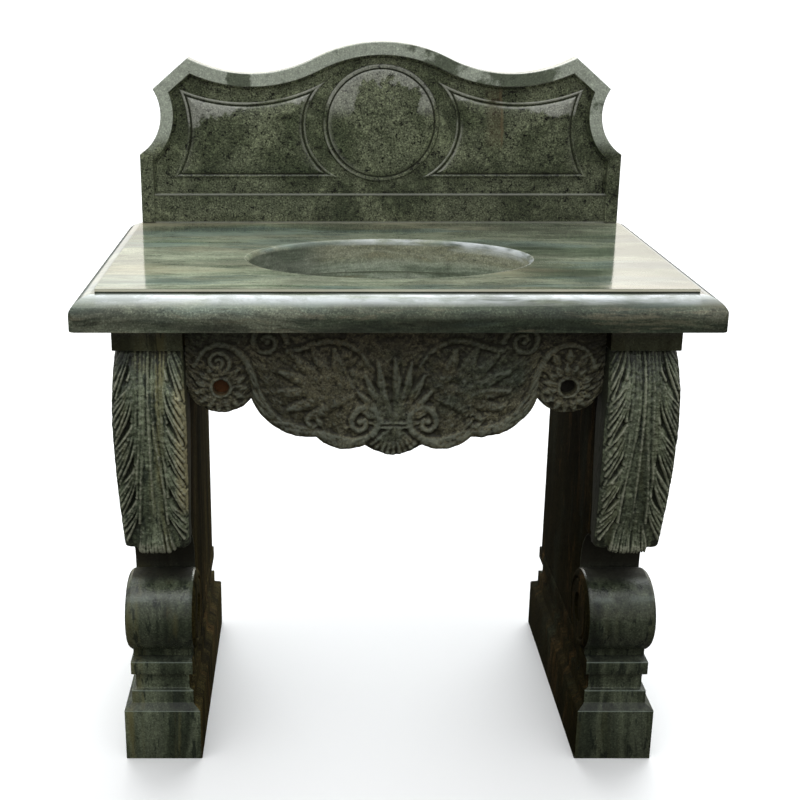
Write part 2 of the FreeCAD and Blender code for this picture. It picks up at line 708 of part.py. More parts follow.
def leaf_block(rise):
    """Bowed knee that carries the leaf, sweeping back to the cap. Rise lifts its front face."""
    knee = (SLAB_FRONT + KNEE_SETBACK - rise, KNEE_HEIGHT)
    top = (SLAB_FRONT + LEAF_TOP_SETBACK - rise, LEG_TOP)
    foot = (SLAB_FRONT + LEAF_FOOT_SETBACK - rise, LEAF_FOOT_HEIGHT)
    heel = (foot[0] + LEAF_FOOT_DEPTH, LEAF_FOOT_HEIGHT)
    bracket_top = (LEG_BACK - BRACKET_TOP_INSET, LEG_TOP)
    bracket_bend = (along(heel[0], bracket_top[0], BRACKET_CURVE_SHARES[0]),
                    along(LEAF_FOOT_HEIGHT, LEG_TOP, BRACKET_CURVE_SHARES[1]))
    upper = knee_arc(knee, top)
    return leg_profile(LEAF_WIDTH, top, [
        (upper[0], knee),
        knee_arc(knee, foot),
        (heel,),
        (bracket_bend, bracket_top),
        (top,),
    ])


def leaf_prism(start, steps):
    """Both halves of a leaf outline about the leg's middle, extruded through the knee."""
    end = steps[-1][-1]
    whole = [(start,)] + steps + [(flipped(end),)] + mirrored_back(start, steps)
    prism = outline_face(on_front(SLAB_FRONT), flipped(start), whole).extrude(Y_AXIS * LEAF_FOOT_DEPTH)
    return prism.translated(X_AXIS * LEG_PLACE)


def leaf():
    """Lobed leaf raised on the knee, with its midrib."""
    lobes = []
    for index in range(LEAF_LOBES):
        middle = along(LEG_TOP, LEAF_FOOT_HEIGHT, (index + 0.5) / LEAF_LOBES)
        lower = along(LEG_TOP, LEAF_FOOT_HEIGHT, (index + 1) / LEAF_LOBES)
        lobes.append(((LEAF_LOBE_REACH, middle), (LEAF_CUSP_REACH, lower)))
    blade = leaf_prism((LEAF_CUSP_REACH, LEG_TOP), lobes)
    rib_foot = (MIDRIB_FOOT_WIDTH / 2, LEAF_FOOT_HEIGHT)
    midrib = leaf_prism((MIDRIB_TOP_WIDTH / 2, LEG_TOP), [(rib_foot,)])
    return [blade.common(leaf_block(LEAF_RELIEF)), midrib.common(leaf_block(LEAF_RELIEF + MIDRIB_RISE))]


def leaf_curl():
    """Rolled tip of the leaf at the foot of the knee."""
    front = SLAB_FRONT + LEAF_FOOT_SETBACK - LEAF_RELIEF
    middle = Vector(LEG_PLACE - LEAF_CURL_WIDTH / 2, front, LEAF_FOOT_HEIGHT + LEAF_CURL_RADIUS)
    return Part.makeCylinder(LEAF_CURL_RADIUS, LEAF_CURL_WIDTH, middle, X_AXIS)


def roll():
    """Roll under the neck, with a sunk eye in each end."""
    start = Vector(LEG_PLACE - ROLL_WIDTH / 2, ROLL_Y, ROLL_Z)
    end = Vector(LEG_PLACE + ROLL_WIDTH / 2, ROLL_Y, ROLL_Z)
    body = Part.makeCylinder(ROLL_RADIUS, ROLL_WIDTH, start, X_AXIS)
    eyes = [Part.makeCylinder(ROLL_EYE_RADIUS, ROLL_EYE_DEPTH, start, X_AXIS),
            Part.makeCylinder(ROLL_EYE_RADIUS, ROLL_EYE_DEPTH, end, -X_AXIS)]
    return body.cut(eyes)


def right_console():
    stone = fuse_all([console_core(), leaf_block(0.0), leaf_curl(), roll()] + leaf())
    stone = drill(stone, DOWEL_RADIUS, DOWEL_LENGTH, console_dowel_places(), Z_AXIS)
    stone = drill(stone, BASE_DOWEL_RADIUS, BASE_DOWEL_LENGTH, base_dowel_places(), Z_AXIS)
    return drill(stone, APRON_DOWEL_RADIUS, APRON_DOWEL_LENGTH, apron_dowel_places(), X_AXIS)


def right_cap():
    stone = leg_block(CAP_WIDTH, CAP_FRONT, CAP_BACK, LEG_TOP, SLAB_UNDERSIDE)
    stone = drill(stone, DOWEL_RADIUS, DOWEL_LENGTH, slab_dowel_places(), Z_AXIS)
    return drill(stone, DOWEL_RADIUS, DOWEL_LENGTH, console_dowel_places(), Z_AXIS)


# Apron

def apron_face():
    cusp_angle = math.radians(ROSETTE_CUSP_ANGLE)
    cusp = (ROSETTE_PLACE + ROSETTE_RADIUS * math.cos(cusp_angle),
            ROSETTE_HEIGHT + ROSETTE_RADIUS * math.sin(cusp_angle))
    reach = APRON_END - ROSETTE_PLACE
    rosette_end = (APRON_END, ROSETTE_HEIGHT - math.sqrt(ROSETTE_RADIUS ** 2 - reach ** 2))
    start = (SHELL_CUSP_PLACE, SHELL_CUSP_HEIGHT)
    corner = (APRON_END, SLAB_UNDERSIDE)
    right = [
        ((LOBE_PLACE, LOBE_HEIGHT), (LOBE_CUSP_PLACE, LOBE_CUSP_HEIGHT)),
        ((along(LOBE_CUSP_PLACE, cusp[0], SWEEP_SHARE), SWEEP_HEIGHT), cusp),
        ((ROSETTE_PLACE, ROSETTE_HEIGHT - ROSETTE_RADIUS), rosette_end),
        (corner,),
    ]
    shell_foot = (0.0, SHELL_FOOT_HEIGHT)
    steps = [(shell_foot, start)] + right + [(flipped(corner),)] + mirrored_back(start, right)
    return outline_face(on_front(APRON_FACE), flipped(start), steps)


def ray(direction, length):
    """Drop-shaped rib, half sunk in the apron's face, that swells from the tie to its round end."""
    slope = math.tan(math.radians(RAY_HALF_ANGLE))
    swell = length * slope
    foot = Vector(0, APRON_FACE, TIE_HEIGHT)
    side = direction.cross(Y_AXIS)
    root = foot + direction * RAY_ROOT
    end = foot + direction * length
    shoulder = end + side * swell
    bend = end + (direction + side) * (swell * math.sqrt(0.5))
    tip = end + direction * swell
    edges = [
        Part.LineSegment(root, root + side * (RAY_ROOT * slope)).toShape(),
        Part.LineSegment(root + side * (RAY_ROOT * slope), shoulder).toShape(),
        Part.Arc(shoulder, bend, tip).toShape(),
        Part.LineSegment(tip, root).toShape(),
    ]
    return Part.Face(Part.Wire(edges)).revolve(foot, direction, math.degrees(2 * math.pi))


def ray_fan(upward, fan_angle, length):
    """Fan of ribs that spread from the tie. Upward is +1 or -1."""
    rays = []
    for index in range(RAY_COUNT):
        angle = math.radians(fan_angle * (index / (RAY_COUNT - 1) - 0.5))
        rays.append(ray(Vector(math.sin(angle), 0, upward * math.cos(angle)), length))
    return rays


def middle_carving():
    """Shell below the tie, palm leaf above it."""
    start = Vector(-TIE_WIDTH / 2, APRON_FACE, TIE_HEIGHT)
    tie = Part.makeCylinder(TIE_CORD, TIE_WIDTH, start, X_AXIS)
    shell = ray_fan(-1, SHELL_FAN_ANGLE, SHELL_RAY_LENGTH)
    return shell + ray_fan(1, PALM_FAN_ANGLE, PALM_RAY_LENGTH) + [tie]


def side_carving():
    """Volute and upper curl of the right half."""
    volute = Vector(VOLUTE_PLACE, APRON_FACE, VOLUTE_HEIGHT)
    curl = Vector(CURL_PLACE, APRON_FACE, CURL_HEIGHT)
    return [
        Part.makeTorus(VOLUTE_RADIUS, VOLUTE_CORD, volute, Y_AXIS),
        Part.makeSphere(VOLUTE_EYE_RADIUS, volute),
        Part.makeTorus(CURL_RADIUS, CURL_CORD, curl, Y_AXIS),
    ]


def rosettes(face):
    """Raised discs at both ends, cut off where they meet the legs."""
    in_front = face.extrude(Y_AXIS * -APRON_GROUND)
    discs = []
    for side in (-1, 1):
        middle = Vector(side * ROSETTE_PLACE, APRON_FACE, ROSETTE_HEIGHT)
        raised = Part.makeCylinder(ROSETTE_RADIUS, APRON_GROUND, middle, -Y_AXIS)
        discs.append(raised.common(in_front))
    return discs


def apron_rim(face):
    """Raised rim along the lobes of the lower edge."""
    rim = face.cut(shrunk(face, RIM_WIDTH)).extrude(Y_AXIS * -APRON_GROUND)
    below = block(Vector(-ROSETTE_PLACE, APRON_FRONT, 0), Vector(ROSETTE_PLACE, APRON_BACK, RIM_TOP_HEIGHT))
    return rim.common(below)


def apron():
    face = apron_face()
    plate = face.extrude(Y_AXIS * (APRON_BACK - APRON_FACE))
    right = side_carving()
    carving = middle_carving() + right + [mirror_left(shape) for shape in right]
    stone = fuse_all([plate, apron_rim(face)] + rosettes(face) + carving)
    hole_z = ROSETTE_HEIGHT - ROSETTE_HOLE_DROP
    length = ROSETTE_HOLE_DEPTH + OVERRUN
    holes = []
    for side in (-1, 1):
        start = Vector(side * ROSETTE_PLACE, APRON_FRONT - OVERRUN, hole_z)
        holes.append(Part.makeCylinder(ROSETTE_HOLE_RADIUS, length, start, Y_AXIS))
    stone = stone.cut(holes)
    screws = [Part.makeCylinder(BOLT_RADIUS + BOLT_CLEARANCE, SCREW_BITE, place, -Y_AXIS)
              for place in bracket_apron_screw_places()]
    stone = stone.cut(screws)
    return drill(stone, APRON_DOWEL_RADIUS, APRON_DOWEL_LENGTH, apron_dowel_places(), X_AXIS)


# Apron brackets

def bracket_slab_screw_places():
    middle = BRACKET_THICKNESS + (BRACKET_LEG - BRACKET_THICKNESS) / 2
    return [place + Y_AXIS * middle for place in bracket_places()]


def bracket_apron_screw_places():
    middle = BRACKET_THICKNESS + (BRACKET_LEG - BRACKET_THICKNESS) / 2
    return [place - Z_AXIS * middle for place in bracket_places()]


def apron_bracket(place):
    half = X_AXIS * (BRACKET_WIDTH / 2)
    upright = block(place - half - Z_AXIS * BRACKET_LEG, place + half + Y_AXIS * BRACKET_THICKNESS)
    level = block(place - half - Z_AXIS * BRACKET_THICKNESS, place + half + Y_AXIS * BRACKET_LEG)
    return upright.fuse(level).removeSplitter()


def apron_brackets():
    angles = [apron_bracket(place) for place in bracket_places()]
    radius = BOLT_RADIUS + BOLT_CLEARANCE
    holes = [disc(radius, SLAB_UNDERSIDE - BRACKET_THICKNESS, SLAB_UNDERSIDE, place.x, place.y)
             for place in bracket_slab_screw_places()]
    holes += [Part.makeCylinder(radius, BRACKET_THICKNESS, place, Y_AXIS)
              for place in bracket_apron_screw_places()]
    return Part.makeCompound([angle.cut(holes) for angle in angles])


def apron_bracket_screws():
    screws = [bolt_up(place, SLAB_UNDERSIDE - BRACKET_THICKNESS, SCREW_BITE - BOLT_CLEARANCE)
              for place in bracket_slab_screw_places()]
    for place in bracket_apron_screw_places():
        seat = place + Y_AXIS * BRACKET_THICKNESS
        head = Part.makeCylinder(BOLT_HEAD_RADIUS, BOLT_HEAD_HEIGHT, seat, Y_AXIS)
        shank_length = BRACKET_THICKNESS + SCREW_BITE - BOLT_CLEARANCE
        shank = Part.makeCylinder(BOLT_RADIUS, shank_length, seat, -Y_AXIS)
        screws.append(head.fuse(shank).removeSplitter())
    return Part.makeCompound(screws)


# Outlet of the bowl

def waste_body():
    flange = disc(FLANGE_RADIUS, FLANGE_UNDERSIDE, BOWL_INSIDE_FLOOR, y=BASIN_Y)
    tube = disc(OUTLET_BODY_RADIUS, OUTLET_END, FLANGE_UNDERSIDE, y=BASIN_Y)
    bores = [
        disc(OUTLET_BORE_RADIUS, LEDGE_TOP, BOWL_INSIDE_FLOOR + OVERRUN, y=BASIN_Y),
        disc(OUTLET_LEDGE_RADIUS, OUTLET_END, LEDGE_TOP + OVERRUN, y=BASIN_Y),
        disc(TAILPIECE_NECK_RADIUS + THREAD_CLEARANCE, OUTLET_END - OVERRUN, LEDGE_UNDERSIDE, y=BASIN_Y),
    ]
    return fuse_all([flange, tube]).cut(bores)


def flange_seal():
    return ring(FLANGE_RADIUS, FLANGE_RADIUS - FLANGE_SEAL_WIDTH, FLANGE_SEAT, FLANGE_UNDERSIDE, BASIN_Y)


def lower_gasket():
    return ring(GASKET_RADIUS, THREAD_BORE_RADIUS, GASKET_UNDERSIDE, BOWL_UNDERSIDE, BASIN_Y)


def friction_washer():
    return ring(WASHER_RADIUS, THREAD_BORE_RADIUS, WASHER_UNDERSIDE, GASKET_UNDERSIDE, BASIN_Y)


def back_nut():
    middle = Vector(0, BASIN_Y, NUT_UNDERSIDE)
    corners = []
    for index in range(NUT_SIDES + 1):
        angle = 2 * math.pi * index / NUT_SIDES
        corners.append(middle + Vector(math.cos(angle), math.sin(angle), 0) * NUT_RADIUS)
    nut = Part.Face(Part.makePolygon(corners)).extrude(Z_AXIS * NUT_THICKNESS)
    return nut.cut(disc(THREAD_BORE_RADIUS, NUT_UNDERSIDE, WASHER_UNDERSIDE, y=BASIN_Y))


def tailpiece():
    """Tube with a narrower neck in the body's socket and a spigot for the drain pipe."""
    end = OUTLET_END - TAILPIECE_DROP
    shoulder = end + TAILPIECE_SPIGOT
    spigot = disc(TAILPIECE_RADIUS, end, shoulder, y=BASIN_Y)
    neck = disc(TAILPIECE_NECK_RADIUS, shoulder, LEDGE_UNDERSIDE, y=BASIN_Y)
    bore = disc(TAILPIECE_RADIUS - TAILPIECE_WALL, end - OVERRUN, LEDGE_UNDERSIDE + OVERRUN, y=BASIN_Y)
    return fuse_all([spigot, neck]).cut(bore)


def plug_guide():
    """Spoked bush that stands on the body's ledge and guides the stem."""
    top = LEDGE_TOP + GUIDE_HEIGHT
    rim = ring(OUTLET_BORE_RADIUS, OUTLET_BORE_RADIUS - GUIDE_RING_WALL, LEDGE_TOP, top, BASIN_Y)
    hub = disc(GUIDE_HUB_RADIUS, LEDGE_TOP, top, y=BASIN_Y)
    spoke = block(Vector(0, -GUIDE_SPOKE / 2, LEDGE_TOP),
                  Vector(OUTLET_BORE_RADIUS - GUIDE_RING_WALL / 2, GUIDE_SPOKE / 2, top))
    spokes = []
    for index in range(GUIDE_SPOKES):
        arm = spoke.copy()
        arm.rotate(Vector(0, 0, 0), Z_AXIS, math.degrees(2 * math.pi) * index / GUIDE_SPOKES)
        arm.translate(Y_AXIS * BASIN_Y)
        spokes.append(arm)
    return fuse_all([rim, hub] + spokes).cut(disc(STEM_RADIUS + STEM_CLEARANCE, LEDGE_TOP, top, y=BASIN_Y))


# Plug, at rest on its seat

def plug_cap():
    edge_top = PLUG_UNDERSIDE + PLUG_EDGE
    radius = (PLUG_RADIUS ** 2 + PLUG_DOME ** 2) / (2 * PLUG_DOME)
    ball = Part.makeSphere(radius, Vector(0, BASIN_Y, edge_top + PLUG_DOME - radius))
    return disc(PLUG_RADIUS, PLUG_UNDERSIDE, edge_top + PLUG_DOME, y=BASIN_Y).common(ball)


def plug_seal():
    inner = PLUG_SEAL_RADIUS - PLUG_SEAL_WIDTH
    return ring(PLUG_SEAL_RADIUS, inner, BOWL_INSIDE_FLOOR, PLUG_UNDERSIDE, BASIN_Y)


def plug_stem():
    return disc(STEM_RADIUS, STOP_UNDERSIDE - STEM_TAIL, PLUG_UNDERSIDE, y=BASIN_Y)


def plug_stop():
    return ring(STOP_RADIUS, STEM_RADIUS, STOP_UNDERSIDE, STOP_TOP, BASIN_Y)


def pieces():
    """Every piece of the sink by name."""
    stones = {"base": right_base(), "console": right_console(), "cap": right_cap()}
    named = {
        "top_slab": top_slab(),
        "basin_bowl": basin_bowl(),
        "backsplash": backsplash(),
        "apron": apron(),
    }
    for name, stone in stones.items():
        named["right_" + name] = stone
        named["left_" + name] = mirror_left(stone)
    named["slab_dowels"] = dowels(DOWEL_RADIUS, DOWEL_LENGTH, slab_dowel_places(), Z_AXIS)
    named["console_dowels"] = dowels(DOWEL_RADIUS, DOWEL_LENGTH, console_dowel_places(), Z_AXIS)
    named["base_dowels"] = dowels(BASE_DOWEL_RADIUS, BASE_DOWEL_LENGTH, base_dowel_places(), Z_AXIS)
    named["backsplash_dowels"] = dowels(DOWEL_RADIUS, DOWEL_LENGTH, backsplash_dowel_places(), Z_AXIS)
    named["apron_dowels"] = dowels(APRON_DOWEL_RADIUS, APRON_DOWEL_LENGTH, apron_dowel_places(), X_AXIS)
    makers = (
        bowl_sealant, bowl_clips, bowl_clip_bolts, backsplash_sealant, apron_brackets, apron_bracket_screws,
        waste_body, flange_seal, lower_gasket, friction_washer, back_nut, tailpiece, plug_guide,
        plug_cap, plug_seal, plug_stem, plug_stop,
    )
    for make in makers:
        named[make.__name__] = make()
    return named


def main():
    os.makedirs("parts", exist_ok=True)
    for name, shape in pieces().items():
        if not shape.isValid():
            raise ValueError(name + " is not a valid shape")
        shape.exportStep("parts/" + name + ".step")
        print(name, "solids", len(shape.Solids), "volume", round(shape.Volume))


main()
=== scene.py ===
import json
import math

import bmesh
import bpy
import numpy as np
from bpy.props import FloatProperty, FloatVectorProperty, PointerProperty
from mathutils import Matrix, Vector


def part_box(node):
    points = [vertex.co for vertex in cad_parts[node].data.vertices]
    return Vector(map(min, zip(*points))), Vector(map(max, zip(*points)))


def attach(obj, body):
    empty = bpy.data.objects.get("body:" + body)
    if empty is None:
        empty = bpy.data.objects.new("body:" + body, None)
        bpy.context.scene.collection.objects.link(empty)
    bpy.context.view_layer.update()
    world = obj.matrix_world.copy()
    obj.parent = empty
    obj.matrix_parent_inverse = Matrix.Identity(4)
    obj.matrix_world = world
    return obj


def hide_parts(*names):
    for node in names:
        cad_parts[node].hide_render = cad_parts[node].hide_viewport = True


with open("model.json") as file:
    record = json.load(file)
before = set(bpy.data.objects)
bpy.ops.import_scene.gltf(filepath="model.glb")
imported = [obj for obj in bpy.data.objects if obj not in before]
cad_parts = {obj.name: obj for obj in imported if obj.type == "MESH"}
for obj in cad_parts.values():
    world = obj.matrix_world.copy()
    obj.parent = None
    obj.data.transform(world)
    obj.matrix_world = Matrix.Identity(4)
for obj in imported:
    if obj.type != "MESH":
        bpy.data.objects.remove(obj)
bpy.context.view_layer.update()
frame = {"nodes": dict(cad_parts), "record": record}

bl_info = {
    "name": "Carved stone vanity sink",
    "version": (1, 0, 0),
    "blender": (4, 5, 0),
    "location": "View3D > Sidebar > Vanity sink",
    "description": "Carves and finishes the stones and fittings of a vanity sink",
    "category": "Add Mesh",
}

# The frame is in metres. Carvings are drawn in millimetres.
MM = 0.001
# Points this close, in metres, are welded
WELD = 0.00001
# Stands in for 0 in a division
TINY = 1e-9
# Bend of an edge, in degrees, from which it is rounded, or left crisp when a piece is smoothed
EDGE_ANGLE = 35
CARVED_ANGLE = 60
# A face looks straight at something when its direction agrees by this share
STRAIGHT_AT = 0.95

# Backsplash, in millimetres: places are across from the middle, heights above the floor
SPLASH_HALF = 470.0
SPLASH_FOOT = 852.0
SPLASH_CREST = (0.0, 1200.0)
SPLASH_BEND = (127.84, 1169.9)
SPLASH_DIP = (250.04, 1140.15)
SPLASH_HORN = (372.71, 1169.9)
SPLASH_SHOULDER = (440.86, 1111.1)
SPLASH_WAIST = (428.17, 1049.85)
SPLASH_HIP = (470.0, 985.1)
LEDGE_HEIGHT = 906.0
BAND_DEPTH = 4.0
PANEL_FOOT_INNER = (81.8, 939.6)
PANEL_FOOT_OUTER = (405.1, 939.6)
PANEL_SIDE = (375.1, 1035.5)
PANEL_HORN = (390.6, 1110.8)
PANEL_DIP = (259.0, 1085.2)
PANEL_CREST = (104.3, 1127.6)
PANEL_RING = (146.2, 1046.4)
MEDALLION_RADIUS = 113.0
MEDALLION_MIDDLE = 1045.0
# Points on each side of the backsplash, on each side of a panel and round the medallion
SPLASH_POINTS = 60
PANEL_POINTS = 50
MEDALLION_POINTS = 128
# Mouldings: in from the edge, back from the field, and wear with painted light from -1 to 1
MEDALLION_PROFILE = (
    (-1, 1.0, -1), (0, -2.5, -0.6), (1.5, -4.2, 0.5), (4, -4.6, 0.5), (6.5, -4.0, 0), (8, -2.0, -1),
    (9.5, -2.0, -1), (11, -3.4, 0.5), (14, -4.6, 0.3), (22, -5.8, 0), (40, -7.0, 0), (70, -7.8, 0),
    (100, -8.0, 0), (111, -8.0, 0))
PANEL_PROFILE = (
    (0.0, 1.0, -0.4), (0.3, -2.4, 0.4), (1.6, -3.6, 0.8), (3.2, -3.6, 0.6), (4.6, -2.4, 0), (6.0, -1.2, -1),
    (7.4, -1.2, -0.8), (8.6, -2.6, 0.3), (10.2, -3.9, 0.7), (12.5, -4.9, 0.3), (16.0, -5.9, 0),
    (22.0, -7.0, 0), (30.0, -7.7, 0))
# Gutter about the field: in from the frame, back from the field
FIELD_GUTTER = ((0.5, 1.5), (4.0, 1.5), (6.0, 0.0))
# How far a cutter stands out of the stone
CUTTER_SPARE = 5.0

# Legs, in millimetres
LEG_PLACE = 392.0
WASH_RISE = 8.0
FILLET_RISE = 24.5
FILLET_INSET = 12.5
RECESS_RISE = 31.0
RECESS_INSET = 7.0
LEDGE_REACH = 46.0
CORE_HALF = 52.0
COLLAR_FRONT = -230.0
NECK_FRONT = -158.0
NECK_BEND = (-172.6, 374.0)
NECK_TOP_FRONT = -212.0
LEG_BACK = 172.0
LEG_FOOT = 184.0
LEG_TOP = 752.0
LEAF_FOOT = 406.0
ROLL_RADIUS = 70.0
ROLL_HALF = 60.0
ROLL_MIDDLE = (-194.0, 256.0)
ROLL_EYE = 27.0
ROLL_HIGHLIGHT = 302.0
ROLL_ROUNDING = 12.0
# Turned ends of the roll: steps in towards the middle, and out from the end
ROLL_STEPS = ((2.0, 0.0), (3.0, -3.0), (4.0, 3.0), (ROLL_RADIUS - ROLL_ROUNDING - 9.0 - ROLL_EYE, 0.0),
              (1.0, -5.0), (12.0, 2.0))
CAP_MARGIN = 2.0
BRACKET_HALF = 54.5
BRACKET_PROFILE = ((-228.0, 406.0), (-134.0, 406.0), (-51.2, 599.8), (142.0, 752.0), (-228.0, 752.0))
KNEE = (-290.0, 660.0)
KNEE_UPPER_RADIUS = 156.0
KNEE_LOWER_RADIUS = 914.0
LEAF_HALF = 56.0
LEAF_CORNER = 12.0
LEAF_WRAP = 30.0
LEAF_BACK = -222.0
LEAF_ROWS = 390
LEAF_COLUMNS = 190
# Foot of the leaf, folded under
FOLD_ROWS = 26
FOLD_RADIUS = 7.0
LIP_RISE = 9.0
# Height that the leaf's strokes are drawn for, and first draw of the hand's shake
LEAF_DRAWN = 6.6
LEAF_SEED = 11

# Apron, in millimetres
APRON_END = 336.0
APRON_TOP = 790.0
APRON_FRONT = -250.0
APRON_GROUND = -242.0
APRON_BACK = -222.0
HOLE_MIDDLE = (280.0, 681.0)
HOLE_RADIUS = 13.0
HOLE_DEPTH = 22.0
APRON_ROWS = 146
APRON_COLUMNS = 431
APRON_ROUNDING = 4.0
# Height that the apron's carving is drawn for, and draw of its tool marks
APRON_DRAWN = 8.0
APRON_SEED = 5

# Places that the finishes go by, in metres. Pairs start and end a change, fours start and end two.
MIDDLE = (-0.1, 0.1)
BASIN_MIDDLE = -0.042
BASIN_HALF = (0.243, 0.145)
BASIN_INSIDE = (0.838, 0.846)
RIM_HIGHLIGHT = (0.838, 0.842)
SLAB_TOP = (0.8494, 0.8499)
SLAB_ARRIS_HIGHLIGHT = (0.8455, 0.8462)
SLAB_GROOVE_SHADOW = (0.8427, 0.8433, 0.8452, 0.8457)
SLAB_CREST_HIGHLIGHT = (0.829, 0.839, 0.8425, 0.8435)
SLAB_ROLLED = (0.822, 0.832)
SLAB_FASCIA = (0.806, 0.836)
SLAB_FLANK = (0.462, 0.470)
VEIN_PLACE = 0.234
VEIN_STAIN = (0.195, 0.215, 0.232, 0.236)
VEIN_HEIGHT = (0.985, 1.02, 1.10, 1.12)
PANEL_REACH = (0.10, 0.125, 0.384, 0.390)
PANEL_EDGE = (0.105, 0.112, 0.165, 0.175)
DISC_REFLECTION_MIDDLE = (0.010, 1.024)
REFLECTION_DEPTH = (0.2601, 0.2606, 0.2672, 0.2680)
FRAME_DEPTH = (0.2602, 0.2612)
LEDGE_HIGHLIGHT = (0.9032, 0.9042, 0.9065, 0.9070)
LEDGE_DEPTH = (0.290, 0.295)
LEDGE_END = (0.443, 0.446)
ROLL_HEIGHT = (0.186, 0.19, 0.322, 0.326)
ROLL_FRONT = (-0.240, -0.230)
NECK_HEIGHT = (0.30, 0.33, 0.400, 0.407)
NECK_DEPTH = (-0.228, -0.205, -0.14, -0.12)
NECK_SIDE = (0.0516, 0.0519)
LIT_SIDE_HEIGHT = (0.46, 0.49, 0.68, 0.71)
LIT_SIDE_PLACE = (-0.356, -0.346)
CAP_SHADOW = (0.7522, 0.754)

# Stage, in metres and degrees
FLOOR_SIZE = 200.0
SUN_HEIGHT = 4.0
SUN_TURN = (14.0, -10.0, 0.0)
SUN_SPREAD = 50.0
CAMERA_PLACE = (-0.1293, -2.0412, 1.3110)
CAMERA_TILT = 16.03
CAMERA_SHIFT = (0.107, -0.100)
CAMERA_REACH = 300.0
SENSOR_MM = 36.0
# Changes of the sky: start and end, as shares of a full step back, up or towards the window
FRONT_TO_BACK = (-0.6, 0.7)
LOW_TO_TOP = (0.25, 0.8)
GROUND_TO_SKY = (-0.03, 0.03)
WARM_TO_COOL = (0.22, 0.5)
WINDOW_EDGE = (0.80, 0.93)
WINDOW_SIDE = (0.10, 0.70, 0.71)
LOW_SKY = (1.0, 0.94, 0.86, 1.0)
HIGH_SKY = (0.95, 0.98, 1.0, 1.0)
WHITE = (1.0, 1.0, 1.0, 1.0)


# Plain drawing

def arc(start, middle, end, count):
    """Points from start to end along the circle through the middle point."""
    (ax, ay), (bx, by), (cx, cy) = start, middle, end
    aa, bb, cc = (x * x + y * y for x, y in (start, middle, end))
    twist = 2 * (ax * (by - cy) + bx * (cy - ay) + cx * (ay - by))
    ux = (aa * (by - cy) + bb * (cy - ay) + cc * (ay - by)) / twist
    uy = (aa * (cx - bx) + bb * (ax - cx) + cc * (bx - ax)) / twist
    radius = math.hypot(ax - ux, ay - uy)
    first, through, last = (math.atan2(y - uy, x - ux) for x, y in (start, middle, end))
    turn = 2 * math.pi
    sweep = (last - first) % turn
    if (through - first) % turn > sweep:
        sweep -= turn
    angles = first + sweep * np.linspace(0, 1, count)
    return np.column_stack([ux + radius * np.cos(angles), uy + radius * np.sin(angles)])


def straight(start, end, count):
    share = np.linspace(0, 1, count)[:, None]
    return np.array(start) * (1 - share) + np.array(end) * share


def mirrored(line):
    """The line in a mirror at the middle, walked backwards."""
    return (np.asarray(line) * (-1, 1))[::-1]


def flowing(points, count=8):
    """Smooth line through the points."""
    points = np.asarray(points, float)
    ends = np.vstack([2 * points[0] - points[1], points, 2 * points[-1] - points[-2]])
    line = []
    for before, start, end, after in zip(ends, ends[1:], ends[2:], ends[3:]):
        for share in np.linspace(0, 1, count, endpoint=False):
            line.append(0.5 * (2 * start + (end - before) * share
                               + (2 * before - 5 * start + 4 * end - after) * share ** 2
                               + (3 * start - before - 3 * end + after) * share ** 3))
    return np.array(line + [points[-1]])


def spiral(middle, start_angle, turns, outer, inner, count=40, tightening=0.8):
    share = np.linspace(0, 1, count)
    angles = math.radians(start_angle) + 2 * math.pi * turns * share
    radii = outer + (inner - outer) * share ** tightening
    return np.column_stack([middle[0] + radii * np.cos(angles), middle[1] + radii * np.sin(angles)])


def even(line, count):
    """The line with its points spread evenly."""
    run = np.concatenate([[0], np.cumsum(np.hypot(*np.diff(line, axis=0).T))])
    places = np.linspace(0, run[-1], count)
    return np.column_stack([np.interp(places, run, line[:, 0]), np.interp(places, run, line[:, 1])])


def moved_side(side, offset, spare=60.0):
    """A side of an outline, lengthened at both ends and moved to its left."""
    first = side[0] - side[1]
    last = side[-1] - side[-2]
    side = np.vstack([side[0] + first / np.hypot(*first) * spare, side,
                      side[-1] + last / np.hypot(*last) * spare])
    step = np.diff(side, axis=0)
    step /= np.hypot(*step.T)[:, None]
    step = np.vstack([step[:1], step[:-1] + step[1:], step[-1:]])
    step /= np.hypot(*step.T)[:, None]
    return side + np.column_stack([-step[:, 1], step[:, 0]]) * offset


def crossing(one, two, corner):
    """Where two lines of points cross nearest to a corner: the point and the places on each line."""
    best = None
    for i in range(len(one) - 1):
        p, r = one[i], one[i + 1] - one[i]
        q, s = two[:-1], np.diff(two, axis=0)
        turn = r[0] * s[:, 1] - r[1] * s[:, 0]
        turn = np.where(np.abs(turn) < TINY, TINY, turn)
        gap = q - p
        t = (gap[:, 0] * s[:, 1] - gap[:, 1] * s[:, 0]) / turn
        u = (gap[:, 0] * r[1] - gap[:, 1] * r[0]) / turn
        for j in np.flatnonzero((t >= 0) & (t <= 1) & (u >= 0) & (u <= 1)):
            point = p + r * t[j]
            distance = np.hypot(*(point - corner))
            if best is None or distance < best[0]:
                best = (distance, point, i, j)
    if best is None:
        raise RuntimeError("two sides of an outline no longer cross")
    return best[1:]


def inset_outline(sides, offsets, count):
    """Outline with each side moved inwards by its own offset and the corners met again."""
    moved = [moved_side(side, offset) for side, offset in zip(sides, offsets)]
    starts, ends = {}, {}
    for index, side in enumerate(moved):
        following = (index + 1) % len(moved)
        point, i, j = crossing(side, moved[following], sides[index][-1])
        ends[index] = (point, i)
        starts[following] = (point, j)
    ring = []
    for index, side in enumerate(moved):
        first, i = starts[index]
        last, j = ends[index]
        ring.append(even(np.vstack([first, side[i + 1:j + 1], last]), count + 1)[:-1])
    return np.vstack(ring)


# Modelling

def deselect():
    bpy.ops.object.select_all(action="DESELECT")


def activate(piece):
    deselect()
    piece.select_set(True)
    bpy.context.view_layer.objects.active = piece


def newest(name):
    piece = bpy.context.object
    piece.name = name
    piece.data.name = name
    bpy.ops.object.transform_apply(location=True, rotation=True, scale=True)
    return piece


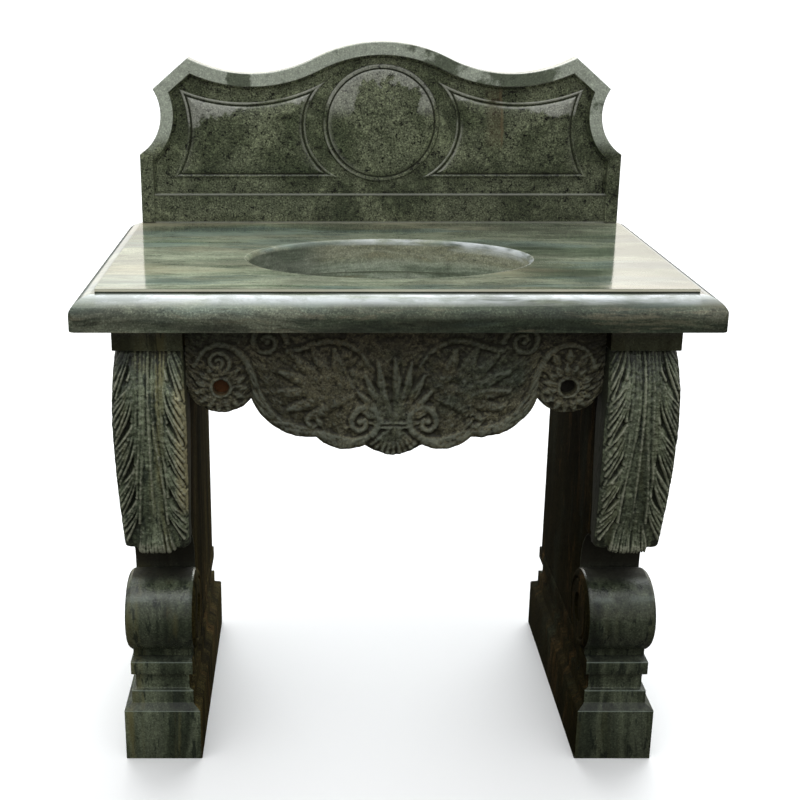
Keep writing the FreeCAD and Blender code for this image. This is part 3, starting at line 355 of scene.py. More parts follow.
def start_editing(piece):
    activate(piece)
    bpy.ops.object.mode_set(mode="EDIT")
    bpy.ops.mesh.select_mode(type="FACE")


def stop_editing():
    bpy.ops.object.mode_set(mode="OBJECT")


def pick_faces(piece, test):
    """Selects the faces that pass a test."""
    bpy.ops.mesh.select_all(action="DESELECT")
    mesh = bmesh.from_edit_mesh(piece.data)
    for face in mesh.faces:
        face.select_set(bool(test(face)))
    bmesh.update_edit_mesh(piece.data)


def modify(piece, kind, **settings):
    """Adds a modifier and applies it."""
    activate(piece)
    modifier = piece.modifiers.new(kind, kind)
    for name, value in settings.items():
        setattr(modifier, name, value)
    bpy.ops.object.modifier_apply(modifier=modifier.name)


def ease(piece, width, segments=2):
    """Rounds the arrises."""
    modify(piece, "BEVEL", width=width, segments=segments, limit_method="ANGLE",
           angle_limit=math.radians(EDGE_ANGLE), use_clamp_overlap=True)


def smooth(piece, degrees=EDGE_ANGLE):
    activate(piece)
    bpy.ops.object.shade_smooth_by_angle(angle=math.radians(degrees))


def pick_open_edges():
    """Selects the open edges of the piece that is being edited."""
    bpy.ops.mesh.select_mode(type="EDGE")
    bpy.ops.mesh.select_all(action="DESELECT")
    bpy.ops.mesh.select_non_manifold(use_wire=False, use_multi_face=False,
                                     use_non_contiguous=False, use_verts=False)


def face_outwards():
    """Turns the faces of the piece that is being edited outwards."""
    bpy.ops.mesh.select_all(action="SELECT")
    bpy.ops.mesh.normals_make_consistent(inside=False)


def close_up(piece):
    """Fills the open ends of a piece and turns its faces outwards."""
    start_editing(piece)
    bpy.ops.mesh.select_all(action="SELECT")
    bpy.ops.mesh.remove_doubles(threshold=WELD)
    pick_open_edges()
    bpy.ops.mesh.fill_holes(sides=0)
    face_outwards()
    stop_editing()


def shaped_grid(name, points):
    """Grid with a vertex at each of the rows of points."""
    rows, columns = points.shape[:2]
    deselect()
    bpy.ops.mesh.primitive_grid_add(x_subdivisions=columns - 1, y_subdivisions=rows - 1, size=1.0)
    piece = newest(name)
    if len(piece.data.vertices) != rows * columns:
        raise RuntimeError("the grid has %d vertices" % len(piece.data.vertices))
    piece.data.vertices.foreach_set("co", np.ascontiguousarray(points, np.float32).ravel())
    piece.data.update()
    return piece


def loft(name, rings, wear=None):
    """Closed piece through rings of points, in millimetres, with the wear and painted light at each of them.
    """
    rings = np.asarray(rings) * MM
    piece = shaped_grid(name, np.concatenate([rings, rings[:, :1]], axis=1))
    if wear is not None:
        keep_wear_and_light(piece, np.concatenate([wear, wear[:, :1]], axis=1))
    close_up(piece)
    return piece


def prism(name, profile, low, high):
    """Side profile, as (depth, height) in millimetres, extruded across."""
    deselect()
    bpy.ops.mesh.primitive_circle_add(vertices=len(profile), fill_type="NGON")
    piece = newest(name)
    points = [(low * MM, depth * MM, height * MM) for depth, height in profile]
    piece.data.vertices.foreach_set("co", np.array(points, np.float32).ravel())
    start_editing(piece)
    bpy.ops.mesh.select_all(action="SELECT")
    bpy.ops.mesh.extrude_region_move(TRANSFORM_OT_translate={"value": ((high - low) * MM, 0, 0)})
    face_outwards()
    stop_editing()
    return piece


def box_between(name, low, high):
    deselect()
    size = [b - a for a, b in zip(low, high)]
    middle = [(a + b) / 2 for a, b in zip(low, high)]
    bpy.ops.mesh.primitive_cube_add(size=1.0, location=middle, scale=size)
    return newest(name)


def cut_away(piece, cutter):
    modify(piece, "BOOLEAN", operation="DIFFERENCE", solver="EXACT", object=cutter)
    bpy.data.meshes.remove(cutter.data)


def joined(piece, others):
    activate(piece)
    for other in others:
        other.select_set(True)
    bpy.ops.object.join()
    return piece


def mirror_copy(piece, name):
    """The piece in a mirror at x = 0, with its own mesh."""
    copy = piece.copy()
    copy.data = piece.data.copy()
    copy.name = name
    copy.data.name = name
    bpy.context.collection.objects.link(copy)
    copy.data.transform(Matrix.Scale(-1, 4, (1, 0, 0)))
    copy.data.flip_normals()
    return copy


def settle(piece, finish, slot, *nodes):
    """Gives a piece its finish, sets it on the sink and lets it stand for its CAD nodes."""
    piece.data.materials.clear()
    piece.data.materials.append(finish)
    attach(piece, "sink")
    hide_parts(*nodes)


# Carving

class Relief:
    """Height of a carved face at each point of a grid, in millimetres, and the light painted on it."""

    # Reach of a ridge's crease and of its light, in half widths
    CREASE = 0.22
    LIGHT = 1.2
    # Share of its length over which a groove opens, and how open it starts
    OPENING = 0.45
    LEAST_OPEN = 0.02

    def __init__(self, across, along):
        self.shape = across.shape
        self.across = across.ravel()
        self.along = along.ravel()
        self.height = np.zeros(self.across.size)
        self.light = np.zeros(self.across.size)

    def near(self, line, reach):
        """The points about a line: which they are, how far from it and how far along it."""
        line = np.asarray(line, float)
        low, high = line.min(axis=0) - reach, line.max(axis=0) + reach
        here = np.flatnonzero((self.across > low[0]) & (self.across < high[0])
                              & (self.along > low[1]) & (self.along < high[1]))
        a, b = self.across[here], self.along[here]
        distance = np.full(here.size, np.inf)
        share = np.zeros(here.size)
        steps = len(line) - 1
        for index in range(steps):
            start, step = line[index], line[index + 1] - line[index]
            t = np.clip(((a - start[0]) * step[0] + (b - start[1]) * step[1]) / max(step @ step, TINY), 0, 1)
            d = np.hypot(a - start[0] - t * step[0], b - start[1] - t * step[1])
            closer = d < distance
            distance[closer] = d[closer]
            share[closer] = (index + t[closer]) / steps
        return here, distance, share

    def ridge(self, line, widths, heights, fullness=0.6, crease=0.0, light=0.0):
        """Rounded ridge along a line. Half widths and heights change from its start to its end."""
        here, distance, share = self.near(line, max(widths))
        width = np.interp(share, np.linspace(0, 1, len(widths)), widths)
        height = np.interp(share, np.linspace(0, 1, len(heights)), heights)
        q = distance / width
        rise = height * np.clip(1 - q * q, 0, 1) ** fullness
        rise = np.where(q < 1, rise - crease * np.exp(-(q / self.CREASE) ** 2), 0)
        self.height[here] = np.maximum(self.height[here], rise)
        self.light[here] = np.maximum(self.light[here], light * np.clip(self.LIGHT - q, 0, 1))

    def groove(self, line, width, depth):
        """Groove along a line, that opens from nothing at its start to its full width and depth."""
        here, distance, share = self.near(line, width)
        opened = np.clip(share / self.OPENING, self.LEAST_OPEN, 1)
        self.height[here] -= depth * opened * np.clip(1 - (distance / (width * opened ** 0.5)) ** 2, 0, 1)

    def bead(self, middle, radius, height):
        d = np.hypot(self.across - middle[0], self.along - middle[1]) / radius
        self.height = np.maximum(self.height, height * np.sqrt(np.clip(1 - d * d, 0, 1)))

    def rows(self):
        return self.height.reshape(self.shape)


def blurred(grid, rounds):
    for _ in range(rounds):
        wide = np.pad(grid, 1, mode="edge")
        grid = (wide[:-2, 1:-1] + wide[2:, 1:-1] + wide[1:-1, :-2] + wide[1:-1, 2:] + 2 * grid) / 6
    return grid


def eased(value, low, high):
    """0 below low, 1 above high, smooth between."""
    share = np.clip((value - low) / (high - low), 0, 1)
    return share * share * (3 - 2 * share)


def rough_stone(shape, draw, coarse, fine):
    """Uneven tooling for a grid of points, in millimetres."""
    rough = np.zeros(shape)
    for rounds, amount in ((24, coarse), (3, fine)):
        layer = blurred(draw.normal(size=shape), rounds)
        rough += layer / layer.std() * amount
    return rough


def ridges_and_hollows(height, reach, depth):
    """From -1 in hollows to 1 on ridges."""
    return np.clip((height - blurred(height, reach)) / depth, -1, 1)


def keep_wear_and_light(piece, wear):
    attribute = piece.data.attributes.new("wear", "FLOAT", "POINT")
    attribute.data.foreach_set("value", np.ascontiguousarray(wear, np.float32).ravel())


def back_to_plane(piece, depth):
    """Draws the open edge of a carved sheet straight back to a plane and closes it there."""
    start_editing(piece)
    pick_open_edges()
    bpy.ops.mesh.extrude_edges_move()
    mesh = bmesh.from_edit_mesh(piece.data)
    for vertex in mesh.verts:
        if vertex.select:
            vertex.co.y = depth * MM
    bmesh.update_edit_mesh(piece.data)
    stop_editing()
    close_up(piece)


# Finishes

class Socket:
    """An output of a finish's node. Arithmetic on it adds Math nodes."""

    def __init__(self, finish, socket):
        self.finish = finish
        self.socket = socket

    def math(self, operation, *values):
        return self.finish.node("ShaderNodeMath", {"operation": operation}, dict(enumerate(values)))

    def __add__(self, other):
        return self.math("ADD", self, other)

    __radd__ = __add__

    def __sub__(self, other):
        return self.math("SUBTRACT", self, other)

    def __rsub__(self, other):
        return self.math("SUBTRACT", other, self)

    def __mul__(self, other):
        return self.math("MULTIPLY", self, other)

    __rmul__ = __mul__

    def __truediv__(self, other):
        return self.math("DIVIDE", self, other)

    def __pow__(self, other):
        return self.math("POWER", self, other)

    def __abs__(self):
        return self.math("ABSOLUTE", self)


class Finish:
    """A material made of nodes."""

    def __init__(self, name):
        self.material = bpy.data.materials.new(name)
        self.material.use_nodes = True
        self.tree = self.material.node_tree
        self.tree.nodes.clear()
        self.point = self.node("ShaderNodeTexCoord", {}, {}, "Object")

    def node(self, kind, settings, sockets, output=0):
        """Adds a node: its settings first, then the values or links of its sockets."""
        node = self.tree.nodes.new(kind)
        for name, value in settings.items():
            if name == "stops":
                while len(node.color_ramp.elements) < len(value):
                    node.color_ramp.elements.new(1.0)
                for element, (place, colour) in zip(node.color_ramp.elements, value):
                    element.position = place
                    element.color = (*colour, 1.0)
            else:
                setattr(node, name, value)
        for name, value in sockets.items():
            if isinstance(value, Socket):
                self.tree.links.new(value.socket, node.inputs[name])
            else:
                node.inputs[name].default_value = value
        return Socket(self, node.outputs[output]) if node.outputs else None

    def stretched(self, point, factors):
        return self.node("ShaderNodeVectorMath", {"operation": "MULTIPLY"}, {0: point, 1: factors})

    def noise(self, point, scale, detail=4.0, roughness=0.55, distortion=0.0, output=0):
        return self.node("ShaderNodeTexNoise", {}, {
            "Vector": point, "Scale": scale, "Detail": detail, "Roughness": roughness,
            "Distortion": distortion}, output)

    def cells(self, point, scale, output="Color"):
        return self.node("ShaderNodeTexVoronoi", {}, {"Vector": point, "Scale": scale}, output)

    def warped(self, point, scale, amount):
        """The point pushed about by a slow noise."""
        push = self.node("ShaderNodeVectorMath", {"operation": "SUBTRACT"}, {
            0: self.noise(point, scale, 3.0, output="Color"), 1: (0.5, 0.5, 0.5)})
        return self.node("ShaderNodeVectorMath", {"operation": "MULTIPLY_ADD"}, {
            0: push, 1: (amount, amount, amount), 2: point})

    def ramp(self, value, stops):
        return self.node("ShaderNodeValToRGB", {"stops": stops}, {0: value})

    def between(self, value, low, high):
        """0 below low, 1 above high, smooth between."""
        return self.node("ShaderNodeMapRange", {"interpolation_type": "SMOOTHSTEP"},
                         {0: value, 1: low, 2: high})

    def below(self, value, low, high):
        """1 below low, 0 above high, smooth between."""
        return 1.0 - self.between(value, low, high)

    def band(self, value, low, full, fade, high):
        """1 from full to fade, 0 below low and above high, smooth between."""
        return self.between(value, low, full) * self.below(value, fade, high)

    def streaks(self, point, stretch, low, high, detail=4.0, roughness=0.55):
        """Patches of a stretched noise: 0 where it is below low, 1 where it is above high."""
        noise = self.noise(self.stretched(point, stretch), 1.0, detail, roughness)
        return self.between(noise, low, high)

    def mix(self, share, one, two, blend="MIX"):
        for_colours = {"data_type": "RGBA", "blend_type": blend}
        return self.node("ShaderNodeMix", for_colours, {0: share, 6: one, 7: two}, 2)

    def shaded(self, colour, factor):
        """The colour times a factor."""
        grey = self.node("ShaderNodeCombineXYZ", {}, {0: factor, 1: factor, 2: factor})
        return self.mix(1.0, colour, grey, "MULTIPLY")

    def part(self, vector, axis):
        return self.node("ShaderNodeSeparateXYZ", {}, {0: vector}, axis)

    def attribute(self, name):
        return self.node("ShaderNodeAttribute", {"attribute_name": name}, {}, "Fac")

    def bump(self, height, distance, strength=1.0):
        return self.node("ShaderNodeBump", {}, {"Height": height, "Distance": distance, "Strength": strength})

    def done(self, **sockets):
        """Closes the finish with one surface shader."""
        named = {name.replace("_", " "): value for name, value in sockets.items()}
        shader = self.node("ShaderNodeBsdfPrincipled", {}, named)
        self.node("ShaderNodeOutputMaterial", {}, {"Surface": shader})
        return self.material


def rgb(colour):
    return (*colour[:3], 1.0)


def scaled(colour, factor):
    return tuple(channel * factor for channel in colour[:3])


def either(one, two):
    """Share that one or the other of two shares covers."""
    return one + two - one * two


def marble(finish, colours, stretch, speckle=0.3):
    """Streaky stone with flecks. Stretch is small along the streaks."""
    light, middle, dark, vein = colours
    warped = finish.warped(finish.point, 2.4, 0.09)
    streak = finish.noise(finish.stretched(warped, stretch), 1.0, 8.0, 0.62, 0.4)
    colour = finish.ramp(streak, [(0.30, dark), (0.43, middle), (0.52, light), (0.60, middle), (0.72, vein)])
    fine = finish.noise(finish.stretched(warped, scaled(stretch, 4.5)), 1.0, 6.0, 0.7)
    flecks = finish.ramp(fine, [(0.36, dark), (0.5, middle), (0.64, light)])
    colour = finish.mix(0.55, colour, flecks, "SOFT_LIGHT")
    return finish.shaded(colour, 1.0 + speckle * grain(finish))


def grain(finish):
    """Crystals of the stone, about -1 in dark flecks and 1 in light ones."""
    crystals = finish.part(finish.cells(finish.point, 420.0), 0)
    fleck = finish.noise(finish.point, 330.0, 2.0, 0.6)
    blotch = finish.noise(finish.point, 80.0, 2.0, 0.6)
    light = finish.between(fleck, 0.54, 0.68) + 0.5 * finish.between(blotch, 0.56, 0.7)
    dark = 2.0 - finish.between(fleck, 0.32, 0.46) - finish.between(blotch, 0.30, 0.44)
    return 0.8 * (crystals - 0.5) + 1.3 * light - 0.7 * dark


def worn_and_shaded(finish, colour, ridge_colour, ridge_share, hollow_colour):
    """Paler on the ridges of a carving, with wear and a painted highlight, and darker in its hollows with
    painted shade.
    """
    wear = finish.attribute("wear")
    ridge = finish.between(wear, 0.05, 0.8)
    hollow = finish.below(wear, -0.75, -0.03)
    colour = finish.mix(ridge_share * ridge, colour, rgb(ridge_colour))
    return finish.mix(0.85 * hollow, colour, rgb(hollow_colour))


def slab_finish():
    """Polished marble of the top, with its fascia and groove in painted shade, painted highlights on its
    arris and crest, and the rim of the basin.
    """
    tints = bpy.context.scene.vanity_colours
    finish = Finish("polished_green_marble")
    across, depth, height = (finish.part(finish.point, axis) for axis in range(3))
    colours = (tints.slab_light, tints.slab_middle, tints.slab_dark, tints.slab_olive)
    colour = marble(finish, colours, (0.9, 7.5, 7.5), 0.22)
    warped = finish.warped(finish.point, 3.0, 0.07)
    tan = finish.streaks(warped, (1.6, 6.0, 6.0), 0.52, 0.66, 5.0)
    colour = finish.mix(0.55 * tan, colour, rgb(tints.slab_tan))
    blue = finish.streaks(warped, (1.87, 13.6, 13.6), 0.53, 0.64)
    colour = finish.mix(0.6 * blue, colour, rgb(tints.slab_blue))
    dash = finish.streaks(warped, (9.0, 70.0, 70.0), 0.57, 0.66, 4.0, 0.7)
    colour = finish.mix(0.75 * dash, colour, rgb(tints.slab_dark))
    cloud = finish.streaks(warped, (7.0, 18.0, 18.0), 0.34, 0.66)
    colour = finish.shaded(colour, 0.62 + 0.52 * cloud)
    # Painted reflection: darker towards the right, where the polished top reflects the backsplash
    right = finish.between(across, -0.45, 0.4)
    colour = finish.mix(right, colour, finish.shaded(colour, 0.62))
    behind_basin = depth - BASIN_MIDDLE
    oval = (across / BASIN_HALF[0]) ** 2.0 + (behind_basin / BASIN_HALF[1]) ** 2.0
    top = finish.between(height, *SLAB_TOP)
    rim = finish.below(oval, 1.25, 1.35) * (1.0 - top)
    edge = 1.0 - rim
    # Painted shade on the fascia, which faces the front, streaked with the stone's seams
    fascia = finish.below(height, *SLAB_FASCIA)
    seam = finish.streaks(warped, (6.0, 60.0, 60.0), 0.44, 0.62, 5.0, 0.7)
    colour = finish.mix(0.8 * fascia, colour, finish.shaded(colour, 0.62 - 0.42 * seam))
    # Painted highlight along the crest of the ovolo, broken by streaks and blotches, full on the flanks
    crest = finish.band(height, *SLAB_CREST_HIGHLIGHT) * edge
    flank = finish.between(abs(across), *SLAB_FLANK)
    streak = either(finish.streaks(warped, (4.0, 30.0, 30.0), 0.36, 0.56), flank)
    blotch = finish.streaks(warped, (20.0, 34.0, 34.0), 0.40, 0.56, 6.0, 0.7)
    crest_highlight_gap = (1.0 - blotch) * (1.0 - flank) * crest
    colour = finish.mix((0.75 - 0.4 * flank) * crest * streak, colour, rgb(tints.slab_highlight))
    colour = finish.mix(0.5 * crest_highlight_gap, colour, rgb(scaled(tints.slab_middle, 0.8)))
    thread = finish.noise(finish.stretched(warped, (7.0, 46.0, 46.0)), 1.0, 6.0, 0.7)
    rolled = finish.below(height, *SLAB_ROLLED) * edge * (1.0 - 0.5 * fascia)
    dark_thread = 0.8 * rolled * finish.between(thread, 0.49, 0.58)
    colour = finish.mix(dark_thread, colour, rgb(scaled(tints.slab_dark, 0.45)))
    pale_thread = 0.6 * rolled * finish.below(thread, 0.37, 0.46)
    colour = finish.mix(pale_thread, colour, rgb(scaled(tints.slab_tan, 0.7)))
    # Painted highlight along the arris of the raised field
    arris = finish.between(height, *SLAB_ARRIS_HIGHLIGHT) * (1.0 - top)
    colour = finish.mix(0.9 * arris * edge, colour, rgb(tints.slab_arris_highlight))
    # Painted shadow: dark line under the step of the raised field
    groove = finish.band(height, *SLAB_GROOVE_SHADOW)
    colour = finish.mix(0.85 * groove * edge, colour, rgb(scaled(tints.slab_dark, 0.2)))
    colour = finish.shaded(colour, 1.0 + 0.45 * rolled * grain(finish))
    inside = rim * finish.below(height, *BASIN_INSIDE)
    colour = finish.mix(inside, colour, bowl_colour(finish))
    # Painted highlight on the back of the basin's rim, widest on the right
    rim_highlight = finish.between(across + 0.7 * behind_basin, -0.05, 0.15) * finish.between(height, 0.828, 0.842)
    rim_highlight = rim_highlight * rim * finish.streaks(finish.point, (14.0, 14.0, 60.0), 0.34, 0.56)
    wide = finish.between(across, 0.08, 0.14)
    rim_highlight = rim_highlight * finish.between(height + 0.010 * wide, *RIM_HIGHLIGHT)
    colour = finish.mix(0.75 * rim_highlight, colour, rgb(tints.slab_highlight))
    rough = 0.05 + 0.06 * finish.noise(finish.point, 24.0) + 0.16 * fascia + 0.25 * inside + 0.22 * crest_highlight_gap
    return finish.done(Base_Color=colour, Roughness=rough, IOR=1.52,
                       Normal=finish.bump(finish.noise(finish.point, 9.0, 2.0), 0.0004))


def bowl_colour(finish):
    """Stone of the bowl, darker on the left and brown low down."""
    tints = bpy.context.scene.vanity_colours
    colours = (tints.bowl_light, tints.bowl_middle, tints.bowl_dark, tints.bowl_brown)
    colour = marble(finish, colours, (5.0, 9.0, 40.0), 0.3)
    across, height = finish.part(finish.point, 0), finish.part(finish.point, 2)
    brown = finish.between(height, 0.798, 0.822) * finish.between(across, -0.16, -0.10)
    stain = finish.shaded(rgb(tints.bowl_brown), 1.0 + 0.5 * grain(finish))
    colour = finish.mix(0.5 * brown, colour, stain)
    return finish.mix(finish.below(across, -0.16, -0.08), colour, finish.shaded(colour, 0.55))


def bowl_finish():
    finish = Finish("honed_basin_marble")
    rough = 0.32 + 0.2 * finish.noise(finish.point, 60.0)
    return finish.done(Base_Color=bowl_colour(finish), Roughness=rough,
                       Normal=finish.bump(finish.noise(finish.point, 260.0, 3.0), 0.0006))


def backsplash_finish():
    """Marble of the backsplash: polished frame, painted reflections on panels and disc, beads with wear,
    painted highlights and painted shade, and an ochre vein.
    """
    tints = bpy.context.scene.vanity_colours
    finish = Finish("semi_polished_green_marble")
    across, depth, height = (finish.part(finish.point, axis) for axis in range(3))
    colours = (tints.splash_light, tints.splash_middle, tints.splash_dark, tints.splash_green)
    colour = marble(finish, colours, (4.0, 4.0, 4.0), 1.15)
    wander = finish.part(finish.warped(finish.point, 14.0, 0.02), 0)
    vein = finish.below(abs(wander - VEIN_PLACE), 0.001, 0.004)
    stain = finish.band(wander, *VEIN_STAIN)
    within = finish.band(height, *VEIN_HEIGHT)
    colour = finish.mix((0.55 * vein + 0.25 * stain) * within, colour, rgb(tints.splash_ochre))
    far = abs(across)
    dim = finish.between(across, 0.10, 0.16) + 1.4 * finish.below(height, 0.95, 1.01)
    colour = finish.shaded(colour, 1.0 - 0.13 * dim)
    border = finish.noise(finish.warped(finish.point, 12.0, 0.04), 22.0, 5.0, 0.65) - 0.5
    right = finish.between(across, -0.05, 0.05)
    # Painted reflections of the sky at the top edges of the panels and the upper edge of the disc
    outer = finish.between(height - 1.034 + 0.34 * (far - 0.38) + 0.08 * border - 0.014 * right, 0.0, 0.008)
    inner = finish.between(height - 1.082 + 0.10 * border, 0.0, 0.008) * finish.below(far, 0.16, 0.19)
    panel = either(outer, inner) * finish.band(far, *PANEL_REACH)
    disc = ((across - DISC_REFLECTION_MIDDLE[0]) ** 2.0 + (height - DISC_REFLECTION_MIDDLE[1]) ** 2.0) ** 0.5
    disc_reflection = finish.between(disc + 0.16 * border, 0.090, 0.099) * finish.between(height, 1.05, 1.085)
    disc_reflection = disc_reflection * finish.below(far, 0.098, 0.106)
    painted_reflection = finish.band(depth, *REFLECTION_DEPTH)
    pale = finish.shaded(rgb(tints.splash_highlight), 0.9 + 0.45 * grain(finish))
    colour = finish.mix(painted_reflection * (0.75 * panel + 0.6 * disc_reflection), colour, pale)
    # Share of painted highlight on the beads, less low on the panels' inner sides and on the left panel's
    # ring
    side = finish.between(far, 0.12, 0.14) * finish.below(height + 0.1 * border, 1.055, 1.085)
    ring = finish.band(far, *PANEL_EDGE)
    ridge = finish.between(border, -0.16, 0.10) * (1.0 - 0.8 * side * (1.0 - ring))
    ridge = ridge * (1.0 - 0.5 * ring * (1.0 - right))
    colour = worn_and_shaded(finish, colour, tints.splash_worn_and_lit, ridge, tints.splash_hollow_shade)
    # Painted highlight along the edge of the ledge
    ledge = finish.band(height, *LEDGE_HIGHLIGHT) * finish.below(depth, *LEDGE_DEPTH)
    colour = finish.mix(0.6 * ledge * finish.below(far, *LEDGE_END), colour, rgb(tints.splash_highlight))
    face = finish.below(depth, *FRAME_DEPTH) * finish.between(height + 0.05 * border, 0.985, 1.03)
    cloud = finish.noise(finish.warped(finish.point, 8.0, 0.05), 13.0, 5.0, 0.65)
    zone = finish.between(across, 0.04, 0.10) - 1.6 * finish.between(far, 0.31, 0.36)
    dip = finish.below(abs(across + 0.272 + 0.05 * border), 0.022, 0.028)
    patch = either(finish.between(cloud + 0.14 * zone, 0.54, 0.62), dip)
    frame_colour = finish.mix(0.85 * patch, rgb(tints.splash_frame), rgb(tints.splash_green))
    colour = finish.mix(0.9 * face, colour, finish.shaded(frame_colour, 1.0 + 0.3 * grain(finish)))
    rough = 0.2 + 0.22 * finish.noise(finish.point, 40.0) + 0.15 * face
    return finish.done(Base_Color=colour, Roughness=rough,
                       Normal=finish.bump(finish.noise(finish.point, 300.0, 3.0), 0.0004))


def leg_finish(name, rough_low, rough_high, carved=0.0):
    """Dark stone with upright veins, paler by the share carved, with wear and a painted highlight on a
    carving's ridges and painted shade in its hollows.
    """
    tints = bpy.context.scene.vanity_colours
    finish = Finish(name)
    across, depth, height = (finish.part(finish.point, axis) for axis in range(3))
    colours = (tints.leg_light, tints.leg_middle, tints.leg_dark, tints.leg_olive)
    colour = marble(finish, colours, (13.0, 9.0, 1.1), 0.5)
    right = finish.between(across, *MIDDLE)
    left = 1.0 - right
    yellow = finish.streaks(finish.point, (30.0, 14.0, 1.6), 0.5, 0.66, 5.0)
    colour = finish.mix(yellow * (0.15 + 0.35 * left), colour, rgb(tints.leg_yellow))
    drip = finish.streaks(finish.point, (75.0, 50.0, 16.0), 0.56, 0.64, 4.0, 0.7)
    colour = finish.mix(0.85 * drip, colour, rgb(tints.leg_dark))
    colour = finish.mix(right, colour, finish.shaded(colour, 0.68))
    fillet = LEG_FOOT - FILLET_RISE - RECESS_RISE
    plinth = fillet - FILLET_RISE - WASH_RISE
    dull = 0.0
    # Painted shade on the flat tops of the base's steps, and a painted highlight just under each of their
    # arrises
    for low, high in ((plinth, plinth + WASH_RISE), (fillet, fillet), (LEG_FOOT, LEG_FOOT)):
        low, high = low * MM, high * MM
        ledge = finish.band(height, low - 0.0002, low - 0.0001, high, high + 0.0002)
        colour = finish.mix(0.75 * ledge, colour, finish.shaded(colour, 0.4))
        edge = finish.band(height, low - 0.0022, low - 0.0014, low - 0.0006, low)
        colour = finish.mix(0.55 * edge, colour, rgb(tints.leg_arris_highlight))
        dull = ledge + dull
    # Painted highlight along the front of the roll
    roll_highlight = finish.below(abs(height - ROLL_HIGHLIGHT * MM), 0.0, 0.008)
    roll_highlight = roll_highlight * finish.below(depth, *ROLL_FRONT) * (1.0 - drip)
    roll_highlight = roll_highlight * finish.streaks(finish.point, (30.0, 30.0, 90.0), 0.36, 0.60)
    colour = finish.mix(0.35 * roll_highlight, colour, rgb(tints.leg_arris_highlight))
    rolled = finish.band(height, *ROLL_HEIGHT)
    colour = finish.mix(rolled, colour, finish.shaded(colour, 0.78))
    # Painted light, tan, on the inner edge of the left leaf
    tan = finish.between(across, *LIT_SIDE_PLACE) * left * finish.band(height, *LIT_SIDE_HEIGHT)
    colour = finish.mix(0.5 * tan, colour, rgb(tints.leg_lit_side))
    # Painted shadow of the slab's overhang on the caps
    cap_shadow = finish.between(height, *CAP_SHADOW)
    colour = finish.mix(0.45 * cap_shadow, colour, rgb(scaled(tints.leg_yellow, 0.25)))
    # Painted shade on the front of the neck, under the leaf's foot
    shade = finish.band(height, *NECK_HEIGHT) * finish.band(depth, *NECK_DEPTH)
    shade = shade * finish.below(abs(abs(across) - LEG_PLACE * MM), *NECK_SIDE)
    colour = finish.mix(0.92 * shade, colour, rgb(tints.side_shade))
    colour = worn_and_shaded(finish, finish.shaded(colour, 1.0 + carved), tints.leg_worn_and_lit, 0.75, tints.leg_hollow_shade)
    rough = rough_low + (rough_high - rough_low) * finish.noise(finish.point, 45.0) + 0.6 * shade + 0.4 * dull
    return finish.done(Base_Color=colour, Roughness=rough,
                       Normal=finish.bump(finish.noise(finish.point, 280.0, 3.0), 0.0005))


def cheek_finish():
    """Sawn stone of the legs' inner sides, nearly black with painted shade, with rusty runs, and with ochre
    ones on the left.
    """
    tints = bpy.context.scene.vanity_colours
    finish = Finish("sawn_shaded_leg_stone")
    warped = finish.warped(finish.point, 5.0, 0.04)
    run = finish.noise(finish.stretched(warped, (8.0, 22.0, 5.0)), 1.0, 6.0, 0.7)
    colour = finish.mix(0.8 * finish.between(run, 0.50, 0.68), rgb(tints.side_shade), rgb(tints.side_rust))
    green = finish.streaks(finish.point, (10.0, 18.0, 5.0), 0.54, 0.70, 5.0)
    colour = finish.mix(0.4 * green, colour, rgb(tints.leg_dark))
    left = finish.below(finish.part(finish.point, 0), *MIDDLE)
    ochre = finish.streaks(finish.point, (10.0, 30.0, 2.4), 0.36, 0.72, 6.0, 0.7)
    colour = finish.mix((0.1 + 0.7 * left) * ochre, colour, rgb(tints.side_ochre))
    colour = finish.shaded(colour, 1.0 + 0.6 * grain(finish))
    return finish.done(Base_Color=colour, Roughness=0.75 + 0.2 * run, Specular_IOR_Level=0.04,
                       Normal=finish.bump(finish.noise(finish.point, 180.0, 4.0, 0.7), 0.0015))


def apron_finish():
    """Brown-green stone of the apron, with the bored holes of the rosettes."""
    tints = bpy.context.scene.vanity_colours
    finish = Finish("carved_brown_green_stone")
    colours = (tints.apron_light, tints.apron_middle, tints.apron_dark, tints.apron_green)
    colour = marble(finish, colours, (5.0, 5.0, 5.0), 0.75)
    moss = finish.between(finish.noise(finish.warped(finish.point, 5.0, 0.05), 7.0, 4.0), 0.50, 0.62)
    green = finish.shaded(rgb(tints.apron_green), 1.0 + 0.6 * grain(finish))
    colour = finish.mix(0.45 * moss, colour, green)
    colour = worn_and_shaded(finish, colour, tints.apron_worn_and_lit, 0.45, tints.apron_hollow_shade)
    across, height = finish.part(finish.point, 0), finish.part(finish.point, 2)
    # Painted shade inside the right rosette hole; reddish brown inside the left one
    hole = (abs(across) - HOLE_MIDDLE[0] * MM) ** 2.0 + (height - HOLE_MIDDLE[1] * MM) ** 2.0
    bored = finish.below(hole, (0.96 * HOLE_RADIUS * MM) ** 2, (1.02 * HOLE_RADIUS * MM) ** 2)
    left = finish.below(across, *MIDDLE)
    colour = finish.mix(bored, colour, finish.mix(left, rgb(tints.side_shade), rgb(tints.hole_brown)))
    rough = 0.42 + 0.25 * finish.noise(finish.point, 60.0)
    return finish.done(Base_Color=colour, Roughness=rough,
                       Normal=finish.bump(finish.noise(finish.point, 320.0, 4.0, 0.7), 0.0012))


def metal_finish(name, colour, rough, scratch):
    finish = Finish(name)
    hair = finish.noise(finish.stretched(finish.point, (60.0, 60.0, 900.0)), 1.0, 4.0)
    stain = finish.noise(finish.point, 70.0, 4.0)
    tint = finish.mix(0.25 * stain, rgb(colour), rgb(scaled(colour, 0.6)))
    return finish.done(Base_Color=tint, Metallic=1.0, Roughness=rough + scratch * hair,
                       Normal=finish.bump(hair, 0.00005))


